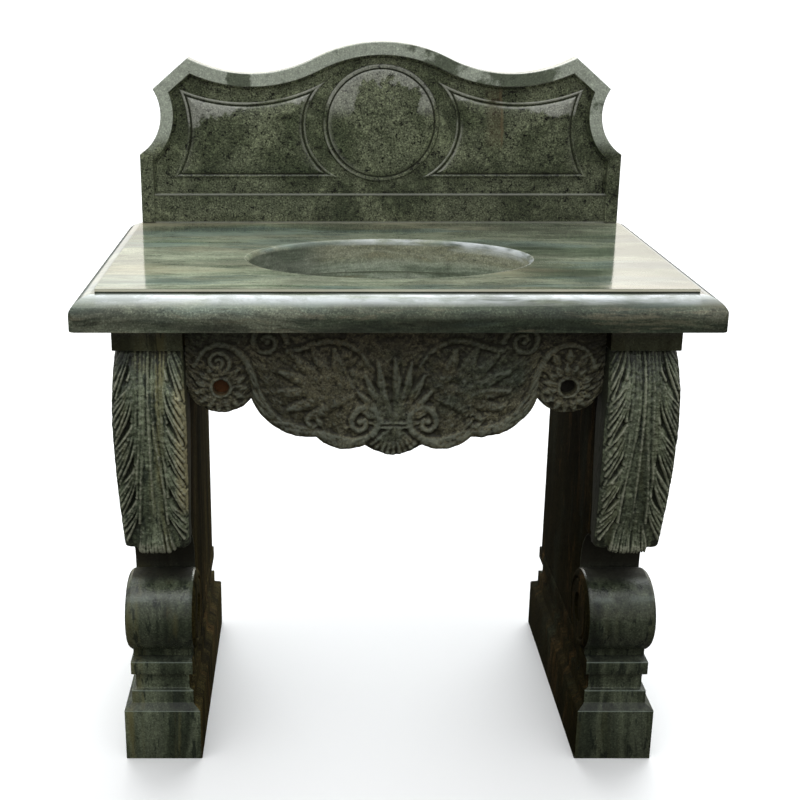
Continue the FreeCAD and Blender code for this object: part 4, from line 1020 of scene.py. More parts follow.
def moulded_finish(name, colour, rough):
    finish = Finish(name)
    skin = finish.noise(finish.point, 420.0, 3.0)
    tint = finish.mix(0.5 * skin, rgb(colour), rgb(scaled(colour, 0.55)))
    return finish.done(Base_Color=tint, Roughness=rough + 0.15 * skin, Normal=finish.bump(skin, 0.0002))


# Settings

def colour_of(label, words, default):
    return FloatVectorProperty(name=label, description=words, default=default,
                               subtype="COLOR", size=3, min=0, max=1)


def length_of(label, words, default):
    return FloatProperty(name=label, description=words, default=default, unit="LENGTH")


def strength_of(label, words, default):
    return FloatProperty(name=label, description=words, default=default, min=0)


class VanityColours(bpy.types.PropertyGroup):
    """Colours of the stones and metals."""

    slab_light: colour_of("Slab light", "Pale sage streaks of the top", (0.40, 0.42, 0.33))
    slab_middle: colour_of("Slab middle", "Main colour of the top", (0.22, 0.26, 0.19))
    slab_dark: colour_of("Slab dark", "Dark green streaks of the top", (0.085, 0.11, 0.078))
    slab_olive: colour_of("Slab olive", "Olive veins of the top", (0.26, 0.24, 0.13))
    slab_tan: colour_of("Slab tan", "Tan stains of the top", (0.40, 0.36, 0.24))
    slab_blue: colour_of("Slab blue", "Blue-green streaks of the top", (0.17, 0.24, 0.21))
    # Painted highlight on the edge of the raised field
    slab_arris_highlight: colour_of("Slab arris", "Pale edge of the raised field", (0.95, 0.92, 0.74))
    # Painted highlight on the top's rounded edges and on the back of the basin's rim
    slab_highlight: colour_of("Slab crest", "Pale polish on the top's rounded edges", (0.70, 0.74, 0.76))
    bowl_light: colour_of("Bowl light", "Pale grain of the bowl", (0.442, 0.468, 0.400))
    bowl_middle: colour_of("Bowl middle", "Main colour of the bowl", (0.288, 0.322, 0.260))
    bowl_dark: colour_of("Bowl dark", "Dark grain of the bowl", (0.134, 0.156, 0.120))
    bowl_brown: colour_of("Bowl brown", "Brown stains of the bowl", (0.30, 0.27, 0.18))
    splash_light: colour_of("Backsplash light", "Pale grain of the backsplash", (0.25, 0.27, 0.19))
    splash_middle: colour_of("Backsplash middle", "Main colour of the backsplash", (0.13, 0.148, 0.094))
    splash_dark: colour_of("Backsplash dark", "Dark grain of the backsplash", (0.056, 0.069, 0.042))
    splash_green: colour_of("Backsplash green", "Green patches of the backsplash", (0.085, 0.11, 0.065))
    splash_frame: colour_of("Backsplash frame", "Pale polished face of the frame", (0.56, 0.61, 0.52))
    # Painted highlights and reflections at the top of panels and disc, and on the ledge's edge
    splash_highlight: colour_of("Backsplash bloom", "Pale patches at the top of panels and disc",
                            (0.50, 0.51, 0.46))
    # Pale beads have wear and a painted highlight; the dark grooves below are painted shade
    splash_worn_and_lit: colour_of("Backsplash worn", "Pale beads of the panels and disc", (0.40, 0.41, 0.35))
    splash_hollow_shade: colour_of("Backsplash hollow", "Dark grooves of the panels and disc",
                             (0.022, 0.024, 0.015))
    splash_ochre: colour_of("Backsplash ochre", "Ochre vein of the right panel", (0.22, 0.17, 0.09))
    leg_light: colour_of("Leg light", "Pale veins of the legs", (0.20, 0.225, 0.160))
    leg_middle: colour_of("Leg middle", "Main colour of the legs", (0.090, 0.107, 0.072))
    leg_dark: colour_of("Leg dark", "Dark veins of the legs", (0.020, 0.028, 0.019))
    leg_olive: colour_of("Leg olive", "Olive veins of the legs", (0.11, 0.105, 0.045))
    leg_yellow: colour_of("Leg yellow", "Yellow streaks of the legs", (0.20, 0.18, 0.07))
    # Worn ridges of the leaf also carry a painted highlight
    leg_worn_and_lit: colour_of("Leg worn", "Worn ridges of the leaf", (0.40, 0.415, 0.31))
    # Painted highlight on the bases' arrises and along the roll
    leg_arris_highlight: colour_of("Leg arris", "Pale edges of the bases", (0.26, 0.31, 0.27))
    # Painted light on the inner edge of the left leaf
    leg_lit_side: colour_of("Leg tan", "Tan stain at the edge of the left leaf", (0.36, 0.31, 0.17))
    # Painted shade in the hollows of the leaf
    leg_hollow_shade: colour_of("Leg hollow", "Hollows of the leaf", (0.009, 0.011, 0.007))
    # Near-black of the legs' sawn sides, mostly painted shade; also the painted shade on the necks and in the
    # right rosette hole
    side_shade: colour_of("Side dark", "Sides of the legs", (0.009, 0.0075, 0.002))
    side_rust: colour_of("Side rust", "Rusty streaks on the sides of the legs", (0.060, 0.036, 0.013))
    side_ochre: colour_of("Side ochre", "Ochre runs on the left leg's inner side", (0.070, 0.057, 0.019))
    hole_brown: colour_of("Hole brown", "Inside of the left rosette hole", (0.15, 0.055, 0.010))
    apron_light: colour_of("Apron light", "Pale grain of the apron", (0.21, 0.20, 0.135))
    apron_middle: colour_of("Apron middle", "Main colour of the apron", (0.115, 0.112, 0.070))
    apron_dark: colour_of("Apron dark", "Dark grain of the apron", (0.045, 0.044, 0.025))
    apron_green: colour_of("Apron green", "Green patches of the apron", (0.075, 0.102, 0.070))
    # Worn ridges of the apron carry a painted highlight; its hollows are painted shade
    apron_worn_and_lit: colour_of("Apron worn", "Worn ridges of the apron", (0.25, 0.28, 0.22))
    apron_hollow_shade: colour_of("Apron hollow", "Hollows of the apron", (0.02, 0.019, 0.010))
    chrome: colour_of("Chrome", "Outlet and plug", (0.78, 0.78, 0.80))
    steel: colour_of("Steel", "Dowels, clips and brackets", (0.55, 0.55, 0.56))
    brass: colour_of("Brass", "Nut, guide and stop", (0.62, 0.45, 0.18))
    rubber: colour_of("Rubber", "Seals and gasket", (0.03, 0.03, 0.03))
    nylon: colour_of("Nylon", "Friction washer", (0.75, 0.74, 0.68))
    sealant: colour_of("Sealant", "Joint filler", (0.30, 0.31, 0.26))


class VanitySizes(bpy.types.PropertyGroup):
    """Sizes of the cut and carved edges."""

    arris: length_of("Arris", "Rounding of the cut edges", 0.0014)
    frame_width: length_of("Frame width", "Raised border of the backsplash", 0.025)
    field_depth: length_of("Field depth", "Depth of the backsplash's field", 0.010)
    leaf_relief: length_of("Leaf relief", "Height of the leaf's carving", 0.0068)
    apron_relief: length_of("Apron relief", "Height of the apron's carving", 0.0078)
    tooling: length_of("Tooling", "Depth of the chisel marks", 0.0015)


class VanityStage(bpy.types.PropertyGroup):
    """Floor, light and camera."""

    floor: colour_of("Floor", "Colour of the floor", (0.86, 0.86, 0.86))
    back: strength_of("Back", "Strength of the low sky behind the sink", 1.35)
    front: strength_of("Front", "Strength of the low sky in front of the sink", 0.45)
    top: strength_of("Top", "Strength of the sky overhead", 0.9)
    window: strength_of("Window", "Strength of the bright sky high behind the sink", 3.4)
    ground: strength_of("Ground", "Strength of the light from below", 0.05)
    overhead: strength_of("Overhead", "Strength of the soft light above", 0.9)
    lens: FloatProperty(name="Lens", description="Focal length in millimetres", default=53.11, min=1)


# Operators

class VANITY_OT_stage(bpy.types.Operator):
    """Floor, soft light and camera"""

    bl_idname = "vanity.stage"
    bl_label = "Stage"

    def execute(self, context):
        stage = context.scene.vanity_stage
        deselect()
        bpy.ops.mesh.primitive_plane_add(size=FLOOR_SIZE)
        floor = newest("floor")
        finish = Finish("pale_floor")
        cloud = finish.noise(finish.point, 1.2, 3.0)
        tint = finish.mix(0.04 * cloud, rgb(stage.floor), rgb(scaled(stage.floor, 0.9)))
        floor.data.materials.append(finish.done(Base_Color=tint, Roughness=0.9, Specular_IOR_Level=0.1))
        floor.visible_diffuse = False
        floor.visible_glossy = False
        self.sky(context, stage)
        deselect()
        bpy.ops.object.light_add(type="SUN", location=(0.0, 0.0, SUN_HEIGHT),
                                 rotation=[math.radians(turn) for turn in SUN_TURN])
        sun = context.object
        sun.name = "overhead_light"
        sun.data.energy = stage.overhead
        sun.data.angle = math.radians(SUN_SPREAD)
        bpy.ops.object.camera_add(location=CAMERA_PLACE,
                                  rotation=(math.radians(90.0 - CAMERA_TILT), 0.0, 0.0))
        camera = context.object
        camera.name = "camera"
        camera.data.lens = stage.lens
        camera.data.sensor_width = SENSOR_MM
        camera.data.shift_x, camera.data.shift_y = CAMERA_SHIFT
        camera.data.clip_end = CAMERA_REACH
        context.scene.camera = camera
        context.scene.view_settings.view_transform = "Standard"
        return {"FINISHED"}

    def sky(self, context, stage):
        """Soft sky over dark ground, brighter behind the sink than in front. The camera sees plain white."""
        world = bpy.data.worlds.new("studio")
        context.scene.world = world
        world.use_nodes = True
        tree = world.node_tree
        tree.nodes.clear()
        place = tree.nodes.new("ShaderNodeTexCoord")
        split = tree.nodes.new("ShaderNodeSeparateXYZ")
        tree.links.new(place.outputs["Generated"], split.inputs[0])

        def spread(value, settings):
            node = tree.nodes.new("ShaderNodeMapRange")
            node.interpolation_type = "SMOOTHSTEP"
            for index, setting in enumerate(settings, 1):
                if isinstance(setting, float):
                    node.inputs[index].default_value = setting
                else:
                    tree.links.new(setting, node.inputs[index])
            tree.links.new(value, node.inputs[0])
            return node.outputs[0]

        def combine(kind, operation, first, second):
            node = tree.nodes.new(kind)
            node.operation = operation
            for index, value in enumerate((first, second)):
                if isinstance(value, (float, tuple)):
                    node.inputs[index].default_value = value
                else:
                    tree.links.new(value, node.inputs[index])
            return node.outputs["Value"]

        horizon = spread(split.outputs["Y"], (*FRONT_TO_BACK, stage.front, stage.back))
        above = spread(split.outputs["Z"], (*LOW_TO_TOP, horizon, stage.top))
        towards = combine("ShaderNodeVectorMath", "DOT_PRODUCT", place.outputs["Generated"], WINDOW_SIDE)
        window = spread(towards, (*WINDOW_EDGE, 0.0, stage.window))
        bright = combine("ShaderNodeMath", "ADD", above, window)
        light = spread(split.outputs["Z"], (*GROUND_TO_SKY, stage.ground, bright))
        tint = tree.nodes.new("ShaderNodeMix")
        tint.data_type = "RGBA"
        tint.inputs[6].default_value = LOW_SKY
        tint.inputs[7].default_value = HIGH_SKY
        cool = spread(split.outputs["Z"], (*WARM_TO_COOL, 0.0, 1.0))
        tree.links.new(cool, tint.inputs[0])
        sky = tree.nodes.new("ShaderNodeBackground")
        tree.links.new(tint.outputs[2], sky.inputs["Color"])
        tree.links.new(light, sky.inputs["Strength"])
        plain = tree.nodes.new("ShaderNodeBackground")
        plain.inputs["Color"].default_value = WHITE
        seen = tree.nodes.new("ShaderNodeMixShader")
        tree.links.new(tree.nodes.new("ShaderNodeLightPath").outputs["Is Camera Ray"], seen.inputs[0])
        tree.links.new(sky.outputs[0], seen.inputs[1])
        tree.links.new(plain.outputs[0], seen.inputs[2])
        out = tree.nodes.new("ShaderNodeOutputWorld")
        tree.links.new(seen.outputs[0], out.inputs["Surface"])


class VANITY_OT_slab(bpy.types.Operator):
    """Finishes of the top slab, the bowl and the joint fillers"""

    bl_idname = "vanity.slab"
    bl_label = "Slab and bowl"

    def execute(self, context):
        tints = context.scene.vanity_colours
        filler = moulded_finish("cured_sealant", tints.sealant, rough=0.5)
        for node, finish in (("top_slab", slab_finish()), ("basin_bowl", bowl_finish()),
                             ("bowl_sealant", filler), ("backsplash_sealant", filler)):
            paint(node, finish)
        return {"FINISHED"}


def paint(node, finish):
    """Gives a CAD node its finish."""
    mesh = frame["nodes"][node].data
    mesh.materials.clear()
    mesh.materials.append(finish)


def splash_sides():
    """Outline of the backsplash, walked anticlockwise seen from the front, one line for each side."""
    foot = (SPLASH_HALF, SPLASH_FOOT)
    right_edge = straight(foot, SPLASH_HIP, 12)
    right_waist = arc(SPLASH_HIP, SPLASH_WAIST, SPLASH_SHOULDER, 40)
    right_horn = straight(SPLASH_SHOULDER, SPLASH_HORN, 10)
    dip = arc(SPLASH_HORN, SPLASH_DIP, SPLASH_BEND, 60)
    crest = arc(SPLASH_BEND, SPLASH_CREST, (-SPLASH_BEND[0], SPLASH_BEND[1]), 60)
    top = np.vstack([dip, crest[1:-1], mirrored(dip)])
    sole = straight((-SPLASH_HALF, SPLASH_FOOT), foot, 40)
    return [sole, right_edge, right_waist, right_horn, top,
            mirrored(right_horn), mirrored(right_waist), mirrored(right_edge)]


def on_wall(ring, depth):
    """Ring of (across, height) points set at a depth."""
    return np.column_stack([ring[:, 0], np.full(len(ring), depth), ring[:, 1]])


class VANITY_OT_backsplash(bpy.types.Operator):
    """Backsplash with its frame, panels and medallion"""

    bl_idname = "vanity.backsplash"
    bl_label = "Backsplash"

    def execute(self, context):
        sizes = context.scene.vanity_sizes
        low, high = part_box("backsplash")
        front, back = low.y / MM, high.y / MM
        width, depth, arris = sizes.frame_width / MM, sizes.field_depth / MM, sizes.arris / MM
        sides = splash_sides()
        ledge = LEDGE_HEIGHT - SPLASH_FOOT

        def ring(foot, others, behind):
            """Outline moved in by one length at its foot and another elsewhere, set behind the front."""
            return on_wall(inset_outline(sides, [foot] + [others] * 7, SPLASH_POINTS), front + behind)

        def frame_ring(offset, behind):
            return ring(ledge + offset - width, offset, behind)

        stone = loft("backsplash_stone", [
            ring(0.0, 0.0, back - front), ring(0.0, 0.0, arris), ring(0.0, arris, 0.0),
            frame_ring(width - arris, 0.0), frame_ring(width, arris),
            *(frame_ring(width + aside, depth + behind) for aside, behind in FIELD_GUTTER)])
        half = (SPLASH_HALF - width) * MM
        band = box_between("band_cutter",
                           (-half, (front - CUTTER_SPARE) * MM, (SPLASH_FOOT - CUTTER_SPARE) * MM),
                           (half, (front + BAND_DEPTH) * MM, LEDGE_HEIGHT * MM))
        cut_away(stone, band)
        parts = [self.medallion(front + depth), self.panel(front + depth)]
        parts.append(mirror_copy(parts[1], "left_panel"))
        joined(stone, parts)
        smooth(stone)
        settle(stone, backsplash_finish(), "backsplash_stone", "backsplash")
        return {"FINISHED"}

    def medallion(self, ground):
        """Round disc in the middle. Its beads have a painted highlight, palest on the left, where the light
        comes from.
        """
        angles = np.linspace(0, 2 * math.pi, MEDALLION_POINTS, endpoint=False)
        across, up = np.cos(angles), np.sin(angles)
        rings, wear = [], []
        for inward, behind, value in MEDALLION_PROFILE:
            radius = MEDALLION_RADIUS - inward
            flat = np.column_stack([radius * across, MEDALLION_MIDDLE + radius * up])
            rings.append(on_wall(flat, ground + behind))
            wear.append(value * (0.5 - 0.7 * across if value > 0 else np.ones(MEDALLION_POINTS)))
        return loft("medallion", rings, np.array(wear))

    def panel(self, ground):
        """Right panel. Its foot is darker with painted shade and its other edges paler with a painted
        highlight.
        """
        sides = [straight(PANEL_FOOT_INNER, PANEL_FOOT_OUTER, 40),
                 arc(PANEL_FOOT_OUTER, PANEL_SIDE, PANEL_HORN, 40),
                 arc(PANEL_HORN, PANEL_DIP, PANEL_CREST, 60),
                 arc(PANEL_CREST, PANEL_RING, PANEL_FOOT_INNER, 60)]
        rings, wear = [], []
        for inward, behind, value in PANEL_PROFILE:
            rings.append(on_wall(inset_outline(sides, [inward] * 4, PANEL_POINTS), ground + behind))
            wear.append([min(value, 0)] * PANEL_POINTS + [value] * (3 * PANEL_POINTS))
        return loft("right_panel", rings, np.array(wear))


def sawn_shaded_inside(piece, sawn_shaded, reach):
    """Gives a leg its sawn finish, dark with painted shade, where it looks at the other leg, and past a reach
    from its middle.
    """
    piece.data.materials.append(sawn_shaded)
    for face in piece.data.polygons:
        inward = -math.copysign(1.0, face.center.x) * face.normal.x
        face.material_index = int(inward > STRAIGHT_AT or abs(face.center.x) < (LEG_PLACE - reach) * MM)


class VANITY_OT_legs(bpy.types.Operator):
    """Bases, caps and consoles of both legs"""

    bl_idname = "vanity.legs"
    bl_label = "Legs"

    def execute(self, context):
        polished, sawn_shaded = leg_finish("polished_leg_stone", rough_low=0.16, rough_high=0.36), cheek_finish()
        arris = context.scene.vanity_sizes.arris
        stones = ((self.base(arris), "base", LEDGE_REACH), (self.cap(arris), "cap", ROLL_HALF),
                  (self.console(arris), "console", BRACKET_HALF))
        for piece, node, reach in stones:
            smooth(piece)
            left = mirror_copy(piece, "left_%s_stone" % node)
            settle(piece, polished, "leg_stone", "right_" + node)
            settle(left, polished, "leg_stone", "left_" + node)
            for stone in (piece, left):
                sawn_shaded_inside(stone, sawn_shaded, reach)
        return {"FINISHED"}

    def base(self, arris):
        """Stepped base, drawn up from its plinth."""
        low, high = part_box("right_base")
        middle = (low + high) / 2
        plinth_top = high.z - (WASH_RISE + 2 * FILLET_RISE + RECESS_RISE) * MM
        stone = box_between("right_base_stone", low, (high.x, high.y, plinth_top))
        start_editing(stone)
        pick_faces(stone, lambda face: face.normal.z > 0.5)
        bpy.ops.mesh.inset(thickness=FILLET_INSET * MM, depth=WASH_RISE * MM)
        self.rise(FILLET_RISE)
        bpy.ops.mesh.inset(thickness=RECESS_INSET * MM)
        self.rise(RECESS_RISE)
        self.rise(0.0)
        narrow = (FILLET_INSET + RECESS_INSET) * MM * 2
        wide = FILLET_INSET * MM * 2
        size = high - low
        growth = [(length - wide) / (length - narrow) for length in (size.x, size.y)]
        bpy.ops.transform.resize(value=(*growth, 1.0),
                                 center_override=(middle.x, middle.y, high.z - FILLET_RISE * MM))
        self.rise(FILLET_RISE)
        bpy.ops.mesh.inset(thickness=2 * arris)
        stop_editing()
        ease(stone, arris)
        return stone

    def rise(self, height):
        bpy.ops.mesh.extrude_region_move(TRANSFORM_OT_translate={"value": (0.0, 0.0, height * MM)})

    def cap(self, arris):
        low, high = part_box("right_cap")
        stone = box_between("right_cap_stone", low, high)
        start_editing(stone)
        pick_faces(stone, lambda face: face.normal.z < -0.5)
        bpy.ops.mesh.inset(thickness=CAP_MARGIN * MM, depth=0.0)
        stop_editing()
        ease(stone, arris)
        return stone

    def console(self, arris):
        """Core with the neck, bracket at the knee, and roll."""
        roll_level = ROLL_MIDDLE[1]
        neck = arc((NECK_FRONT, roll_level + ROLL_RADIUS), NECK_BEND, (NECK_TOP_FRONT, LEAF_FOOT), 24)
        profile = [(LEG_BACK, LEG_FOOT), (COLLAR_FRONT, LEG_FOOT), (COLLAR_FRONT, roll_level),
                   (NECK_FRONT, roll_level), *neck, (NECK_TOP_FRONT, LEG_TOP), (LEG_BACK, LEG_TOP)]
        stone = prism("right_console_stone", profile, LEG_PLACE - CORE_HALF, LEG_PLACE + CORE_HALF)
        front_foot, heel, bend, top, front_top = BRACKET_PROFILE
        bracket = prism("bracket", [front_foot, *arc(heel, bend, top, 40), front_top],
                        LEG_PLACE - BRACKET_HALF, LEG_PLACE + BRACKET_HALF)
        for part in (stone, bracket):
            ease(part, arris)
        return joined(stone, [bracket, self.roll()])

    def roll(self):
        depth, height = ROLL_MIDDLE
        deselect()
        bpy.ops.mesh.primitive_cylinder_add(
            vertices=128, radius=ROLL_RADIUS * MM, depth=2 * ROLL_HALF * MM,
            location=(LEG_PLACE * MM, depth * MM, height * MM), rotation=(0.0, math.pi / 2, 0.0))
        roll = newest("roll")
        ease(roll, ROLL_ROUNDING * MM, segments=8)
        start_editing(roll)
        for side in (-1, 1):
            pick_faces(roll, lambda face: face.normal.x * side > 0.999)
            for inward, outward in ROLL_STEPS:
                bpy.ops.mesh.inset(thickness=inward * MM, depth=outward * MM)
        stop_editing()
        return roll


# Lobes of one half of the leaf, from the cap down, in millimetres from its middle line and down from the cap:
# root of the lobe's pipe at the cap, eye across, eye down, tips of the fingers down
LEAF_LOBES = ((33.0, 29.0, 40.0, (24.0, 36.0, 48.0, 61.0, 76.0)),
              (26.0, 23.0, 110.0, (92.0, 103.0, 114.0, 126.0, 138.0, 152.0)),
              (19.0, 21.0, 184.0, (168.0, 179.0, 190.0, 201.0, 213.0, 226.0)),
              (12.5, 22.0, 244.0, (240.0, 250.0, 260.0, 271.0, 284.0)),
              (6.0, 20.0, 296.0, (296.0, 305.0, 314.0, 324.0, 335.0)))
LEAF_TIPS = 53.0
LEAF_FOOT_ENDS = (0.0, 5.0, 10.0, 15.0, 20.0, 25.0, 30.0)
LEAF_LIP_HALF = 34.0
# How far the foot's strokes run past the knee, and how high a finger starts above its tip
FOOT_SPARE = 14.0
FINGER_LENGTH = 84.0
# Where a finger bends: shares of its way across and down
FINGER_BEND = (0.30, 0.46)
# Spread of the hand's shake, in millimetres, and of a stroke's strength
SHAKE = 1.2
UNEVEN = 0.10
# Half width of the leaf down from the cap
LEAF_WIDTHS = ((0.0, 54.5), (60.0, 57.5), (130.0, 60.0), (220.0, 58.5), (300.0, 56.0), (360.0, 54.5))


def knee_curve(count):
    """Front of the knee from the cap to the leaf's foot, with its outward directions and its length."""
    height = np.linspace(LEG_TOP, LEAF_FOOT, 400)
    radius = np.where(height > KNEE[1], KNEE_UPPER_RADIUS, KNEE_LOWER_RADIUS)
    depth = KNEE[0] + radius - np.sqrt(radius ** 2 - (height - KNEE[1]) ** 2)
    line = even(np.column_stack([depth, height]), count)
    step = np.gradient(line, axis=0)
    step /= np.hypot(*step.T)[:, None]
    outward = np.column_stack([step[:, 1], -step[:, 0]])
    length = np.hypot(*np.diff(line, axis=0).T).sum()
    return line, outward, length


def half_leaf(relief, side, length, draw):
    """One half of the hanging leaf: pipes that run down to eyes, and lobes of fingers that overlap."""
    def stroke(points, widths, heights, strength=1.0, fullness=0.7):
        points = np.array(points) + draw.normal(0, SHAKE, (len(points), 2))
        strength *= draw.normal(1.0, UNEVEN)
        heights = [height * strength for height in heights]
        relief.ridge(flowing(points * (side, 1.0)), widths, heights, fullness)

    foot = length + FOOT_SPARE
    for end in LEAF_FOOT_ENDS:
        points = [(0.5 * end, foot - 120.0 + 2.0 * end), (0.7 * end, foot - 60.0),
                  (0.92 * end, foot - 26.0), (end, foot)]
        stroke(points, (1.6, 2.4, 2.8, 2.8), (0.8, 1.4, 3.4, 4.6))
    roof = -30.0
    hooks = []
    for root, eye_across, eye_down, tips in LEAF_LOBES:
        points = [(root, -8.0), (root, 0.4 * eye_down), (eye_across - 1.0, 0.8 * eye_down),
                  (eye_across + 3.0, eye_down + 9.0)]
        stroke(points, (3.2, 3.4, 3.6, 3.6), (1.8, 2.0, 3.2, 5.4), 1.0, 1.0)
        for order, tip in zip(np.linspace(0, 1, len(tips)), tips):
            start = np.array([eye_across + 1.0 - 2.0 * order, max(tip - FINGER_LENGTH, roof)])
            end = np.array([LEAF_TIPS - 3.0 * order, tip + 6.0 * order])
            bend = start + (end - start) * FINGER_BEND
            stroke([start, bend, end], (1.3, 2.1, 2.6, 2.0 + 1.0 * order),
                   (1.2, 3.2, 4.4, 2.6 + 1.6 * order), 0.70 + 0.45 * order)
        roof = eye_down + 6.0
        hooks.append(flowing([start + (-2.0, 16.0), bend + (-1.0, 10.0), end + (6.0, 8.0)]))
    for hook in hooks[:-1]:
        relief.groove(hook * (side, 1.0), width=5.5, depth=4.2)


def leaf_height(across, down, length, draw):
    """Carving of the whole leaf, with its midrib and tool marks."""
    relief = Relief(across, down)
    for side in (-1.0, 1.0):
        half_leaf(relief, side, length, draw)
    relief.ridge([(0.0, -8.0), (0.0, length - 70.0)], (3.4, 2.6), (3.6, 2.0), 0.9)
    height = blurred(relief.rows(), 1)
    return height + rough_stone(height.shape, draw, coarse=0.45, fine=0.22)


def leaf_sheet(relief_share, draw, inner):
    """Points of the carved leaf about x = 0, and their wear with painted light and shade. Inner is the side
    that faces the other leg.
    """
    line, outward, length = knee_curve(LEAF_ROWS)
    step = length / (LEAF_ROWS - 1)
    down = step * np.arange(LEAF_ROWS + FOLD_ROWS)
    flat = LEAF_HALF - LEAF_CORNER
    bend = LEAF_CORNER * math.pi / 2
    edge = flat + bend + LEAF_WRAP
    across = np.linspace(-edge, edge, LEAF_COLUMNS)
    grid_across, grid_down = np.meshgrid(across, down)
    height = leaf_height(grid_across, grid_down, length, draw) * relief_share
    far = np.abs(grid_across)
    fade = eased(edge - far, 0.0, 8.0)
    height = height * fade - 2.0 * (1 - fade)
    turn = np.clip((far - flat) / LEAF_CORNER, 0, math.pi / 2)
    sideways = np.minimum(far, flat) + LEAF_CORNER * np.sin(turn)
    sideways *= np.interp(grid_down, *zip(*LEAF_WIDTHS)) / LEAF_HALF
    behind = LEAF_CORNER * (1 - np.cos(turn)) + np.maximum(far - flat - bend, 0)
    fold = step * np.arange(1, FOLD_ROWS + 1)
    turn_under = np.minimum(fold / FOLD_RADIUS, math.pi / 2)
    foot, out = line[-1], outward[-1]
    drop = np.array([-out[1], out[0]])
    straight_under = np.maximum(fold - FOLD_RADIUS * math.pi / 2, 0)
    folded = (foot + out * (FOLD_RADIUS * (np.cos(turn_under) - 1) - straight_under)[:, None]
              + drop * (FOLD_RADIUS * np.sin(turn_under))[:, None])
    line = np.vstack([line, folded])
    face = np.vstack([outward, out * np.cos(turn_under)[:, None] + drop * np.sin(turn_under)[:, None]])
    out_only = np.vstack([outward, np.repeat(out[None], FOLD_ROWS, axis=0)])
    past = grid_down - length
    lip = eased(past, -46.0, -2.0) ** 1.5 * np.clip(1 - (far / LEAF_LIP_HALF) ** 6, 0, 1)
    lip *= LIP_RISE * (1 - eased(past, 4.0, 24.0))
    forward = lip - behind
    raised = height * np.cos(turn)
    depth = line[:, None, 0] + face[:, None, 0] * raised + out_only[:, None, 0] * forward
    level = line[:, None, 1] + face[:, None, 1] * raised + out_only[:, None, 1] * forward
    points = np.stack([np.sign(grid_across) * (sideways + 0.4 * height * np.sin(turn)), depth, level], axis=2)
    lip_edge = far - LEAF_LIP_HALF
    # Painted highlight on the lip, and painted shade beside the lip, under the cap and on the side that faces
    # the other leg
    lit = eased(past, -16.0, -4.0) * (1 - eased(lip_edge, -5.0, 0.0))
    shaded = eased(lip_edge, 2.0, 8.0) * eased(past, -22.0, -8.0)
    shaded += 1 - eased(grid_down, 4.0, 56.0)
    shaded += 3.0 * eased(inner * grid_across, flat + 0.7 * bend, flat + bend)
    return points, np.clip(ridges_and_hollows(height, reach=18, depth=1.7) + 0.7 * lit - 0.6 * shaded, -1, 1)


class VANITY_OT_leaves(bpy.types.Operator):
    """Carved leaves on the knees of both legs"""

    bl_idname = "vanity.leaves"
    bl_label = "Leaves"

    def execute(self, context):
        sizes = context.scene.vanity_sizes
        finish = leg_finish("carved_leg_stone", rough_low=0.34, rough_high=0.58, carved=0.75)
        share = sizes.leaf_relief / MM / LEAF_DRAWN
        for seed, (name, place) in enumerate((("left_leaf", -LEG_PLACE), ("right_leaf", LEG_PLACE))):
            draw = np.random.default_rng(LEAF_SEED + seed)
            points, wear = leaf_sheet(share, draw, -math.copysign(1.0, place))
            leaf = shaped_grid(name, (points + (place, 0.0, 0.0)) * MM)
            keep_wear_and_light(leaf, wear)
            back_to_plane(leaf, LEAF_BACK)
            smooth(leaf, CARVED_ANGLE)
            settle(leaf, finish, "leg_stone")
        return {"FINISHED"}


# Carving of the apron, in millimetres across and up: middle, right half and the left half's own volute
TIE = (0.0, 618.0)
SHELL_REACH = 49.0
SCROLL = ((118, 604), (101, 597), (80, 590), (58, 590), (36, 600), (25, 618), (28, 638), (45, 648), (63, 638),
          (68, 620), (59, 608), (47, 613), (48, 625))
SCROLL_EYE = (55.0, 622.0)
SIDE_RIM = ((122, 618), (140, 610), (160, 612), (183, 622), (205, 644), (222, 676), (230, 706), (247, 738),
            (276, 753), (304, 745), (322, 718))
TOP_SPRAY = ((40, 716), (58, 742), (86, 757), (118, 758), (148, 748), (172, 742))
SPRAY_EYE = (205.0, 758.0)
WING_ROOT = (60.0, 668.0)
LEFT_VOLUTE = (-284.0, 724.0)
# Leaves at the scroll's start: root, tip, half width and height
SCROLL_LEAVES = (((112, 606), (128, 632), 6.0, 6.2), ((122, 604), (144, 624), 5.0, 5.4))
# Leaves of palmette and wing: degrees, reach, and the wing's bow
PALMETTE = ((0, 108), (15, 104), (31, 92), (49, 78), (70, 60), (92, 40))
WING = ((64, 84, 0.10), (48, 108, 0.10), (33, 124, 0.08), (18, 130, 0.05), (3, 126, 0.02), (-12, 114, -0.03),
        (-27, 92, -0.06))
ROSETTE_PETALS = 15
# Degrees of the leaves above the right rosette
ROSETTE_CREST = (40, 65, 90, 115, 140)
RIM_WIDTH = 12.0
RIM_HEIGHT = 5.4


def apron_half_edge():
    """Lower edge of the apron from the middle to its right end."""
    shell_end, lobe_end, cusp = (47.0, 581.0), (126.0, 595.0), (231.46, 661.73)
    shell = arc((-shell_end[0], shell_end[1]), (0.0, 564.0), shell_end, 41)[20:]
    lobe = arc(shell_end, (84.0, 574.0), lobe_end, 24)
    sweep = arc(lobe_end, (195.0, 613.0), cusp, 36)
    rosette = arc(cusp, (280.0, 637.0), (APRON_END, 675.46), 30)
    return np.vstack([shell, lobe[1:], sweep[1:], rosette[1:]])


def about(middle, reach, turn, side=1):
    """Point at a reach from a middle, turned up from the right, or from the left for side -1."""
    return middle[0] + side * reach * math.cos(turn), middle[1] + reach * math.sin(turn)


